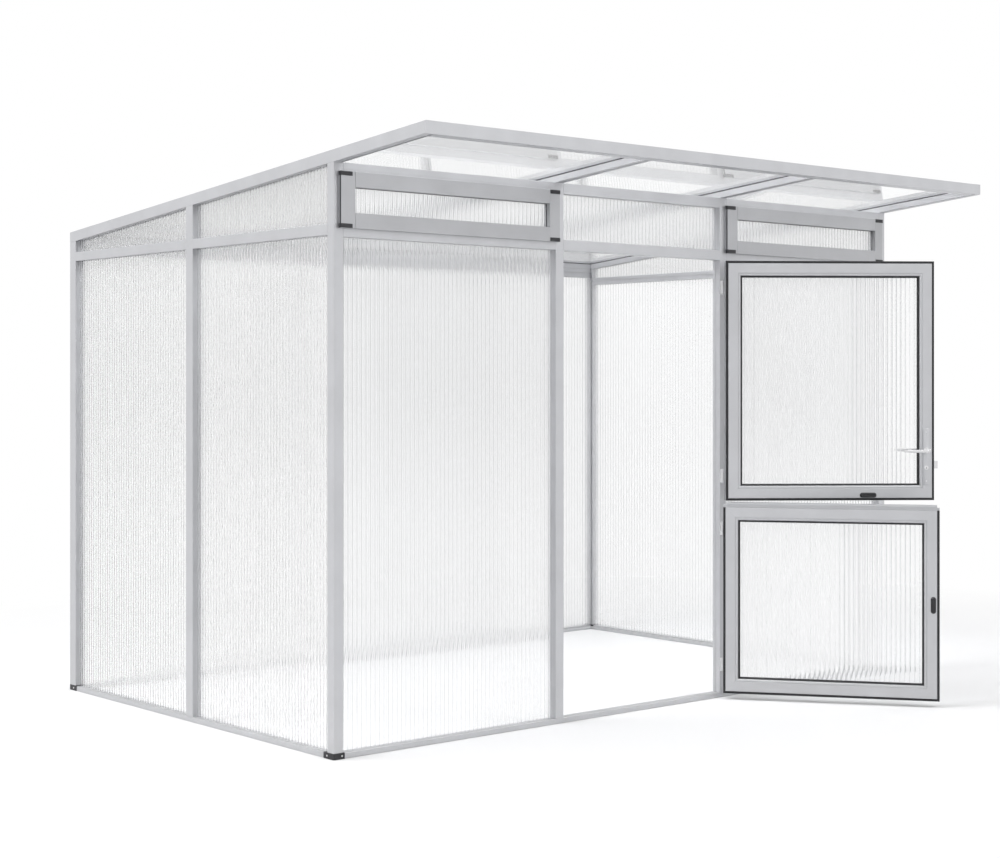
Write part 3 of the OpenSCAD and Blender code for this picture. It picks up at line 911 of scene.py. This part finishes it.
class GREENHOUSE_OT_vents(bpy.types.Operator):
    """Transom vent sashes with their sheets, bead gaskets and corner caps"""
    bl_idname = "greenhouse.vents"
    bl_label = "Transom Vents"

    def execute(self, context):
        caps = Solids()
        for side in ("left", "right"):
            lo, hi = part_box("vent_" + side + "_sash")
            sheet_lo, sheet_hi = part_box("vent_" + side + "_sheet")
            bay = FRONT_BAYS[0 if side == "left" else 2]
            left, right = sheet_lo.x, sheet_hi.x
            rail = sheet_lo.z - lo.z
            out = Y_FRONT - lo.y
            sash = Solids()
            # stiles and rails of the face
            for x0, x1 in ((lo.x, left), (right, hi.x)):
                self.face_bar(sash, (x0, x1), (lo.z, hi.z), lo.y, out, True)
            for z0, z1 in ((lo.z, lo.z + rail), (hi.z - rail, hi.z)):
                self.face_bar(sash, (left, right), (z0, z1), lo.y, out, False)
            # body inside the bay
            y = Y_FRONT - 0.2 * MM
            foot, head = TRANSOM[1] + MM, HEAD_Z - MM
            for x0, x1 in ((bay[0] + MM, left), (right, bay[1] - MM)):
                sash.box((x0, y, foot), (x1, hi.y, head), 0.6 * MM)
            for z0, z1 in ((foot, lo.z + rail), (hi.z - rail, head)):
                sash.box((left, y, z0), (right, hi.y, z1), 0.6 * MM)
            # bead gasket round the sheet, which is seated 1 mm deep in the sash
            x0, x1, z0, z1 = left - MM, right + MM, sheet_lo.z - MM, sheet_hi.z + MM
            bead = [(0, 0), (2.6 * MM, 0), (2.0 * MM, -2 * MM), (0, -2.5 * MM)]
            mitred(sash, x0, x1, z0, z1, bead, lambda a, b, c: (a, sheet_lo.y + b, c), finish=1)
            # the sash takes the aluminium with painted shade
            make_piece("vent_sash_" + side, sash, ["aluminium sash", "black rubber"], "house", "frame",
                       "vent_" + side + "_sash")
            # rubber seals along the sash's two ends
            rubber = Solids()
            for x, outward in ((lo.x, -1), (hi.x, 1)):
                rubber.box((x, lo.y + 1.5 * MM, lo.z + 14 * MM),
                           (x + outward * 1.2 * MM, lo.y + 7 * MM, hi.z - 14 * MM), 0.4 * MM)
            make_piece("vent_edge_seals_" + side, rubber, ["black rubber"], "house", "seal")
            sheet = Solids()
            sheet_across(sheet, x0, x1, sheet_lo.y, z0, z1, sheet_hi.y - sheet_lo.y)
            sheet_piece("vent_sheet_" + side, sheet, "house", "vent_" + side + "_sheet")
            self.corner_caps(caps, lo, hi)
        make_piece("vent_corner_caps", caps, ["black plastic"], "house", "plastic", "vent_caps")
        return {"FINISHED"}

    def face_bar(self, solids, xs, zs, y, out, is_stile):
        """One bar of the sash's face, with both its outer edges eased."""
        across, along = (xs, zs) if is_stile else (zs, xs)
        width, ease = across[1] - across[0], 1.2 * MM
        outline = [(0, out), (0, ease), (ease, 0), (width - ease, 0), (width, ease), (width, out)]
        for_stile = [[(across[0] + a, y + b, end) for a, b in outline] for end in along]
        solids.loft(for_stile if is_stile else [[(z, b, x) for x, b, z in ring] for ring in for_stile])

    def corner_caps(self, caps, lo, hi):
        """Each cap laps the face and the edge of its corner."""
        face = low("vent_caps").y
        wide, tall = 48 * MM, 15 * MM
        for x, inward in ((lo.x, 1), (hi.x, -1)):
            edge = x - inward * 1.8 * MM
            for z in (lo.z + MM, hi.z - MM - tall):
                caps.box((edge, face, z), (x + inward * wide, lo.y, z + tall), 0.9 * MM)
                caps.box((edge, lo.y - 0.2 * MM, z), (x, Y_FRONT - 2 * MM, z + tall), 0.5 * MM)


# ---------------------------------------------------------------- the stable door

HINGE_HEIGHTS = {"upper": (932 * MM, 1723 * MM), "lower": (139 * MM, 711 * MM)}


class Leaf:
    """Sizes of one leaf, drawn closed: x from the hinge axis, y from its outer face, z up."""

    thick = 45 * MM
    bar = 63 * MM
    gap = 5 * MM  # from the jamb
    seal = 10 * MM
    seal_y = (35 * MM, 43 * MM)
    sheet_y = (16 * MM, 32 * MM)

    def __init__(self, name):
        self.body = name + "_leaf"
        hinge = joint(name + "_leaf_swing")
        opened = math.radians(-min(hinge["range_deg"]))
        self.axis = Vector((*hinge["pos_m"][:2], 0))
        self.place = Matrix.Translation(self.axis) @ Matrix.Rotation(opened, 4, "Z")
        self.x1 = X_JAMB_R - self.gap - self.axis.x
        self.x0 = X_JAMB_L + self.gap - self.axis.x
        self.z0, self.z1 = low("door_" + name + "_frame").z, high("door_" + name + "_frame").z

    def open(self, x, y, z):
        """Where a point of the closed leaf is when the leaf stands open."""
        return self.place @ Vector((x, y, z))


def leaf_outline(leaf):
    """Section of a leaf bar: inset from the leaf's edge, and depth from its outer face."""
    t, w = leaf.thick, leaf.bar
    return [
        (0, 1.0 * MM), (1.0 * MM, 0), (w - 9 * MM, 0), (w - 8.6 * MM, 1.2 * MM), (w - 7.8 * MM, 1.2 * MM),
        (w - 7.4 * MM, 0), (w - 1.5 * MM, 0), (w, 1.5 * MM), (w, leaf.sheet_y[1] + 4 * MM),
        (w - 1.6 * MM, t - 3.6 * MM), (w - 4.5 * MM, t - 1.4 * MM), (w - 9.6 * MM, t - 0.9 * MM),
        (w - 10.2 * MM, t - 2.6 * MM), (w - 11.6 * MM, t - 2.6 * MM), (w - 12.0 * MM, t - 0.5 * MM),
        (w - 12.6 * MM, t), (leaf.seal + 1.2 * MM, t), (leaf.seal, t - 1.2 * MM), (leaf.seal, leaf.seal_y[0]),
        (0, leaf.seal_y[0])]


def seal_outline(leaf):
    """A rubber edge seal with a rounded bulb."""
    y0, y1 = leaf.seal_y
    w = leaf.seal
    mid = (y0 + y1) / 2
    return [(0.3 * MM, y0), (0, mid - 1.5 * MM), (0, mid + 1.5 * MM), (1.2 * MM, y1 - 0.6 * MM), (3 * MM, y1),
            (w - 3 * MM, y1), (w - 0.4 * MM, y1 - MM), (w - 0.4 * MM, y0)]


class GREENHOUSE_OT_leaves(bpy.types.Operator):
    """Both leaves of the stable door: mitred frames, seals and sheets"""
    bl_idname = "greenhouse.leaves"
    bl_label = "Door Leaves"

    def execute(self, context):
        for name in ("upper", "lower"):
            leaf = Leaf(name)
            top = leaf.z1 if name == "upper" else leaf.z1 - 11 * MM
            ring = (leaf.x0, leaf.x1, leaf.z0, top)
            bars = Solids()
            mitred(bars, *ring, leaf_outline(leaf), leaf.open, joint_gap=0.12 * MM)
            if name == "lower":
                self.ledge(bars, leaf, top)
            # the leaf frame takes the aluminium with painted shade
            make_piece("leaf_frame_" + name, bars, ["leaf aluminium with painted shade"], leaf.body, "frame",
                       "door_" + name + "_frame")
            rubber = Solids()
            w, root = leaf.bar, leaf.bar - 0.3 * MM
            front, back = leaf.sheet_y
            mitred(rubber, *ring, [(root, back), (w + 6.6 * MM, back), (w + 7 * MM, back + 1.4 * MM),
                                   (w + 2 * MM, back + 6 * MM), (root, back + 6.2 * MM)], leaf.open)
            mitred(rubber, *ring, [(root, front), (w + 5 * MM, front), (w + 4 * MM, front - 3 * MM),
                                   (root, front - 5 * MM)], leaf.open)
            if name == "upper":
                mitred(rubber, *ring, seal_outline(leaf), leaf.open)
            else:
                self.side_seals(rubber, leaf, top)
            make_piece("leaf_seals_" + name, rubber, ["black rubber"], leaf.body, "seal",
                       "door_" + name + "_seal")
            sheet = Solids()
            edge = w - SEAT
            sheet_across(sheet, leaf.x0 + edge, leaf.x1 - edge, front, leaf.z0 + edge, top - edge,
                         back - front)
            sheet_piece("leaf_sheet_" + name, sheet.moved(leaf.place), leaf.body, "door_" + name + "_sheet")
        return {"FINISHED"}

    def ledge(self, bars, leaf, top):
        """The lower leaf's top bar has a rebate for the upper leaf's seal and a thin ledge above it."""
        step, ledge, head = top - 10 * MM, leaf.z1 - 8 * MM, leaf.z1
        back, ease = leaf.thick, 0.8 * MM
        rebate = back - 8 * MM
        ring = [(0, step), (rebate, step), (rebate, ledge), (back - ease, ledge), (back, ledge + ease),
                (back, head - ease), (back - ease, head), (MM, head), (0, head - MM)]
        ends = (leaf.x0 + leaf.seal, leaf.x1 - leaf.seal)
        bars.loft([[leaf.open(x, y, z) for y, z in ring] for x in ends])

    def side_seals(self, rubber, leaf, top):
        """The lower leaf's edge seal runs down both sides and under the leaf."""
        outline = seal_outline(leaf)
        stop = top - 10 * MM
        x0, x1, z0 = leaf.x0, leaf.x1, leaf.z0
        for edge, inward in ((x0, 1), (x1, -1)):
            rubber.loft([[leaf.open(edge + inward * d, y, z0 + d) for d, y in outline],
                         [leaf.open(edge + inward * d, y, stop) for d, y in outline]])
        rubber.loft([[leaf.open(x0 + d, y, z0 + d) for d, y in outline],
                     [leaf.open(x1 - d, y, z0 + d) for d, y in outline]])


class GREENHOUSE_OT_hinges(bpy.types.Operator):
    """Three-knuckle hinges with pins, plates and screws"""
    bl_idname = "greenhouse.hinges"
    bl_label = "Hinges"

    def execute(self, context):
        at = Leaf("upper").axis
        tall, mid, gap, plate = 56 * MM, 22 * MM, 1 * MM, 3 * MM
        end = (tall - mid) / 2 - gap
        fixed = Solids()
        for z in HINGE_HEIGHTS["upper"] + HINGE_HEIGHTS["lower"]:
            for z0, cap in ((z - tall / 2, -1), (z + tall / 2 - end, 1)):
                self.knuckle(fixed, (at.x, at.y, z0), end)
                top = z0 + end if cap > 0 else z0
                fixed.pillar((at.x, at.y, top), (0, 0, cap),
                             [(-0.5 * MM, 4 * MM), (1.2 * MM, 3.6 * MM), (2.2 * MM, 2 * MM)])
                fixed.box((X_JAMB_R, at.y, z0), (at.x + 3 * MM, Y_FRONT, z0 + end), 0.5 * MM)
            fixed.box((X_JAMB_R, Y_FRONT - plate, z - tall / 2), (at.x + 24 * MM, Y_FRONT, z + tall / 2),
                      0.7 * MM)
            for dz in (-18 * MM, 0, 18 * MM):
                screw(fixed, (at.x + 14 * MM, Y_FRONT - plate, z + dz), (0, -1, 0), 3.6 * MM)
        make_piece("hinge_plates_jamb", fixed, ["satin steel", "polished steel"], "house", "steel",
                   "hinges_jamb", smooth=35)
        for name, heights in HINGE_HEIGHTS.items():
            leaf = Leaf(name)
            moving = Solids()
            for z in heights:
                self.knuckle(moving, (0, 0, z - mid / 2), mid)
                moving.box((leaf.x1 - 34 * MM, -plate, z - mid / 2), (-2 * MM, 0, z + mid / 2), 0.7 * MM)
                for x in (leaf.x1 - 26 * MM, leaf.x1 - 12 * MM):
                    screw(moving, (x, -plate, z), (0, -1, 0), 3.4 * MM)
            make_piece("hinge_straps_" + name, moving.moved(leaf.place), ["satin steel", "polished steel"],
                       leaf.body, "steel", "hinges_" + name, smooth=35)
        return {"FINISHED"}

    def knuckle(self, solids, foot, tall):
        radius, ease = 6 * MM, 0.6 * MM
        solids.pillar(foot, (0, 0, 1), [(0, radius - ease), (ease, radius), (tall - ease, radius),
                                        (tall, radius - ease)])


class GREENHOUSE_OT_lock(bpy.types.Operator):
    """Lock plates, latch and the tapered lever on both faces of the upper leaf"""
    bl_idname = "greenhouse.lock"
    bl_label = "Lock and Lever"

    def execute(self, context):
        leaf = Leaf("upper")
        x = leaf.x0 + 35 * MM
        z_lever = joint("lever_turn")["pos_m"][2]
        plates = Solids()
        z0, z1 = low("lock_plates").z, high("lock_plates").z
        mid = (z0 + z1) / 2
        outline = rounded_plate(26 * MM, z1 - z0, 6 * MM)
        for root, out in ((0, -1), (leaf.thick, 1)):
            face = root + out * 4 * MM
            plates.loft([[(x + a, root, mid + b) for a, b in outline],
                         [(x + a, face - out * 0.8 * MM, mid + b) for a, b in outline],
                         [(x + a * 0.93, face, mid + b * 0.992) for a, b in outline]])
            for dz in (16 * MM, z1 - z0 - 16 * MM):
                screw(plates, (x, face, z0 + dz), (0, out, 0), 3.2 * MM)
            # key cylinder below the lever
            plates.pillar((x, face, z_lever - 72 * MM), (0, out, 0),
                          [(-0.2 * MM, 8.5 * MM), (2.2 * MM, 8.5 * MM), (3 * MM, 7.6 * MM)], 28, 1)
            plates.box((x - 0.8 * MM, face, z_lever - 76 * MM),
                       (x + 0.8 * MM, face + out * 3.3 * MM, z_lever - 68 * MM), finish=2)
            # collar round the spindle
            collar = [(-0.2 * MM, 12 * MM), (1.6 * MM, 12 * MM), (2.6 * MM, 10.5 * MM), (2.6 * MM, 8.6 * MM),
                      (-0.2 * MM, 8.6 * MM)]
            plates.pillar((x, face, z_lever), (0, out, 0), collar, 28, 1)
        # the plates take the door leaf's aluminium with painted shade
        make_piece("lock_plates_satin", plates.moved(leaf.place),
                   ["leaf aluminium with painted shade", "satin steel", "black rubber"], leaf.body, "steel",
                   "lock_plates", smooth=35)
        latch = Solids()
        nose = [(0, 20 * MM), (-12 * MM, 20 * MM), (-18 * MM, 24 * MM), (-18 * MM, 32 * MM), (0, 32 * MM)]
        ends = (low("lock_latch").z, high("lock_latch").z)
        latch.loft([[(leaf.x0 + a, b, z) for a, b in eased(nose, 0.5 * MM)] for z in ends])
        make_piece("latch_tongue", latch.moved(leaf.place), ["satin steel"], leaf.body, "steel", "lock_latch")
        lever = Solids()
        for face, out in ((leaf.thick + 0.5 * MM, 1), (-0.5 * MM, -1)):
            self.lever_grip(lever, x, face, out, z_lever)
        make_piece("lever_grips", lever.moved(leaf.place), ["polished steel"], "lever", "steel",
                   "lever_handle", smooth=35)
        return {"FINISHED"}

    def lever_grip(self, solids, x, face, out, z):
        """A round neck that turns into a grip, flattened and tapering towards the hinges."""
        reach, bar = 39 * MM, 112 * MM
        neck = [(0, 8 * MM), (reach - 6 * MM, 8 * MM), (reach - MM, 7.2 * MM), (reach + 4.5 * MM, 5.5 * MM)]
        solids.pillar((x, face, z), (0, out, 0), neck, 28)
        rings = []
        count = 16
        turns = [2 * math.pi * k / count for k in range(count)]
        for i in range(count + 1):
            t = i / count
            round_end = min(1.0, 0.6 + 0.4 * t / 0.06, 0.62 + 0.38 * (1 - t) / 0.06)
            tall = (8.0 - 2.6 * t) * MM * round_end
            deep = (4.8 - 0.9 * t) * MM * round_end
            along = x - 7.5 * MM + t * (bar - 0.5 * MM)
            middle = z - 1.5 * MM * math.sin(math.pi * t)
            rings.append([(along, face + out * (reach + deep * math.cos(turn)),
                           middle + tall * math.sin(turn)) for turn in turns])
        solids.loft(rings)


def rounded_plate(width, height, radius, steps=5):
    """Outline of a plate with round corners, about its middle."""
    outline = []
    for sx, sz, start in ((1, 1, 0), (-1, 1, 90), (-1, -1, 180), (1, -1, 270)):
        for i in range(steps + 1):
            turn = math.radians(start + 90 * i / steps)
            outline.append((sx * (width / 2 - radius) + radius * math.cos(turn),
                            sz * (height / 2 - radius) + radius * math.sin(turn)))
    return outline


class GREENHOUSE_OT_slide_bolts(bpy.types.Operator):
    """Oval slide knobs with a dished thumb hold, one on each leaf, and the bolt tip under the upper leaf"""
    bl_idname = "greenhouse.slide_bolts"
    bl_label = "Slide Bolts"

    def execute(self, context):
        upper, lower = Leaf("upper"), Leaf("lower")
        bolt = Solids()
        self.knob(bolt, upper.x1 - 599 * MM, "slide_knob_upper", 70 * MM, True)
        bolt.pillar((upper.x1 - 634 * MM, 24 * MM, upper.z0 + 2 * MM), (0, 0, -1),
                    [(0, 4 * MM), (5.5 * MM, 4 * MM), (7 * MM, 2.8 * MM)], 20, 1)
        make_piece("slide_bolt_upper", bolt.moved(upper.place), ["black plastic", "polished steel"],
                   upper.body, "plastic", "slide_knob_upper", smooth=35)
        bolt = Solids()
        self.knob(bolt, lower.x0 + 25 * MM, "slide_knob_lower", 68 * MM, False)
        make_piece("slide_bolt_lower", bolt.moved(lower.place), ["black plastic"], lower.body,
                   "plastic", "slide_knob_lower", smooth=35)
        return {"FINISHED"}

    def knob(self, solids, x, node, length, lies_flat):
        """An oval knob on the inner face: a rim, a raised body and a dished top, as (inset, height)."""
        z = (low(node).z + high(node).z) / 2
        width = 21 * MM
        rings = []
        for inset, height in ((0, -0.2), (0, 2.2), (1.4, 3.4), (3.2, 3.6), (3.9, 7.4), (5.0, 8.8),
                              (6.4, 9), (7.6, 7.7)):
            long, wide = length - 2 * inset * MM, width - 2 * inset * MM
            oval = rounded_plate(long, wide, wide / 2 - 0.05 * MM, 7)
            y = Leaf.thick + height * MM
            rings.append([(x + a, y, z + b) if lies_flat else (x + b, y, z + a) for a, b in oval])
        solids.loft(rings)


class GREENHOUSE_OT_fixings(bpy.types.Operator):
    """Screws where rails meet posts, inside and out, and along the roof bars"""
    bl_idname = "greenhouse.fixings"
    bl_label = "Screws"

    def execute(self, context):
        solids = Solids()
        roof = (0, ROOF_SLOPE, 1)

        def fix(x, y, z, facing):
            screw(solids, (x, y, z), facing, 4 * MM, 0)

        for side in (-1, 1):
            inner, middle = side * (X_RIGHT - POST_W), side * (X_RIGHT - 20 * MM)
            for z in (60 * MM, SIDE_RAIL[0] + 19 * MM, SIDE_RAIL[1] + 30 * MM):
                fix(inner, Y_BACK_POST + 14 * MM, z, (-side, 0, 0))
            for y in (0.25, 0.75, 1.25, 1.75):
                fix(middle, Y_FRONT + y, roof_top(Y_FRONT + y), roof)
        for x in (low("roof_rafters").x + POST_W / 2, high("roof_rafters").x - POST_W / 2):
            for y in (Y_CANOPY + 0.1, Y_FRONT + 0.1, Y_FRONT + 0.7, Y_FRONT + 1.3, Y_BACK - 0.12):
                fix(x, y, roof_top(y), roof)
            fix(x, Y_BACK - POST_D, SIDE_RAIL[1] + 12 * MM, (0, -1, 0))
        for x0, x1 in FRONT_BAYS:
            for x in (x0 + 25 * MM, x1 - 25 * MM):
                fix(x, Y_FRONT + POST_D, TRANSOM[0] + 9 * MM, (0, 1, 0))
        make_piece("frame_screws", solids, ["satin steel"], "house", "steel", smooth=35)
        return {"FINISHED"}


# ---------------------------------------------------------------- stage

class GREENHOUSE_OT_stage(bpy.types.Operator):
    """Pale floor, plain studio light and the camera"""
    bl_idname = "greenhouse.stage"
    bl_label = "Studio Stage"

    def execute(self, context):
        self.floor()
        self.light()
        self.camera()
        context.scene.view_settings.view_transform = "Standard"
        context.scene.cycles.transparent_max_bounces = 64
        context.scene.cycles.max_bounces = 16
        context.scene.cycles.transmission_bounces = 16
        return {"FINISHED"}

    def floor(self):
        """Keeps the house's shadow near it, and turns as white as the sky away from it."""
        stage = bpy.context.scene.greenhouse_stage
        size, z = 60.0, -0.5 * MM
        corners = [(-size, -size, z), (size, -size, z), (size, size, z), (-size, size, z)]
        mesh = bpy.data.meshes.new("studio_floor")
        mesh.from_pydata(corners, [], [(0, 1, 2, 3)])
        floor = bpy.data.objects.new("studio_floor", mesh)
        bpy.context.scene.collection.objects.link(floor)
        material, wires, shader, surface = new_material("Studio floor")
        shader.inputs["Base Color"].default_value = (*stage.floor, 1)
        shader.inputs["Roughness"].default_value = 0.9
        shader.inputs["Specular IOR Level"].default_value = 0.1
        shader.inputs["Emission Color"].default_value = (1, 1, 1, 1)
        seen = wires.seen_by("Is Glossy Ray", "Is Transmission Ray")
        wires.feed(shader.inputs["Emission Strength"], wires.maths("MULTIPLY", seen, 0.085))
        distance = wires.node("VectorMath", {0: wires.place()}, operation="LENGTH").outputs["Value"]
        share = wires.maths("MULTIPLY", wires.ranged(distance, 2.6, 5.0, 0.0, 1.0), seen)
        fade = wires.ranged(distance, 5.0, 25.0, 1.0, stage.sky_level)
        shown = wires.maths("MAXIMUM", wires.seen_by("Is Glossy Ray"), fade)
        white = wires.node("Emission", {"Strength": shown})
        wires.feed(surface, wires.mixed_shaders(share, shader.outputs[0], white.outputs[0]))
        mesh.materials.append(material)

    def light(self):
        stage = bpy.context.scene.greenhouse_stage
        world = bpy.data.worlds.new("Studio light")
        bpy.context.scene.world = world
        world.use_nodes = True
        wires = Wires(world.node_tree)
        sky = wires.found("BACKGROUND")
        sky.inputs["Color"].default_value = (1, 1, 1, 1)
        level = wires.ranged(wires.seen_by("Is Glossy Ray"), 0.0, 1.0, stage.sky_level, 1.0)
        wires.feed(sky.inputs["Strength"], level)
        for name, at, power in (("Left lamp", (-5.0, 2.0, 8.0), stage.left_power),
                                ("Right lamp", (2.5, -6.0, 8.0), stage.right_power)):
            lamp = bpy.data.lights.new(name, "AREA")
            lamp.shape = "SQUARE"
            lamp.size = 4.0
            lamp.energy = power
            obj = bpy.data.objects.new(name, lamp)
            bpy.context.scene.collection.objects.link(obj)
            obj.location = at
            aim = Vector((0, 0.6, 0.9)) - Vector(at)
            obj.rotation_euler = aim.to_track_quat("-Z", "Y").to_euler()

    def camera(self):
        camera = bpy.data.cameras.new("View")
        camera.lens = 66.216
        camera.sensor_width = 36.0
        camera.shift_y = -0.04825
        camera.clip_end = 300
        obj = bpy.data.objects.new("View", camera)
        bpy.context.scene.collection.objects.link(obj)
        obj.location = (-5.2898, -5.3112, 1.3309)
        obj.rotation_euler = (math.radians(90), 0, math.radians(-40.5035))
        bpy.context.scene.camera = obj


PIECES = (
    GREENHOUSE_OT_base, GREENHOUSE_OT_feet, GREENHOUSE_OT_posts, GREENHOUSE_OT_rails,
    GREENHOUSE_OT_roof_bars, GREENHOUSE_OT_roof_panes, GREENHOUSE_OT_wall_sheets, GREENHOUSE_OT_vents,
    GREENHOUSE_OT_leaves, GREENHOUSE_OT_hinges, GREENHOUSE_OT_lock, GREENHOUSE_OT_slide_bolts,
    GREENHOUSE_OT_fixings, GREENHOUSE_OT_stage)


class GREENHOUSE_PT_panel(bpy.types.Panel):
    """Sizes, finishes and the pieces of the greenhouse"""
    bl_label = "Canopy Greenhouse"
    bl_idname = "GREENHOUSE_PT_panel"
    bl_space_type = "VIEW_3D"
    bl_region_type = "UI"
    bl_category = "Greenhouse"

    def draw(self, context):
        column = self.layout.column()
        for group in (context.scene.greenhouse_sizes, context.scene.greenhouse_finishes,
                      context.scene.greenhouse_stage):
            for label in group.bl_rna.properties.keys():
                if label not in ("rna_type", "name"):
                    column.prop(group, label)
        for piece in PIECES:
            column.operator(piece.bl_idname)


CLASSES = (GreenhouseSizes, GreenhouseFinishes, GreenhouseStage, *PIECES, GREENHOUSE_PT_panel)


def register():
    for cls in CLASSES:
        bpy.utils.register_class(cls)
    bpy.types.Scene.greenhouse_sizes = bpy.props.PointerProperty(type=GreenhouseSizes)
    bpy.types.Scene.greenhouse_finishes = bpy.props.PointerProperty(type=GreenhouseFinishes)
    bpy.types.Scene.greenhouse_stage = bpy.props.PointerProperty(type=GreenhouseStage)


def unregister():
    del bpy.types.Scene.greenhouse_stage
    del bpy.types.Scene.greenhouse_finishes
    del bpy.types.Scene.greenhouse_sizes
    for cls in reversed(CLASSES):
        bpy.utils.unregister_class(cls)


def main():
    register()
    for piece in PIECES:
        group, call = piece.bl_idname.split(".")
        getattr(getattr(bpy.ops, group), call)()


if __name__ == "__main__":
    main()
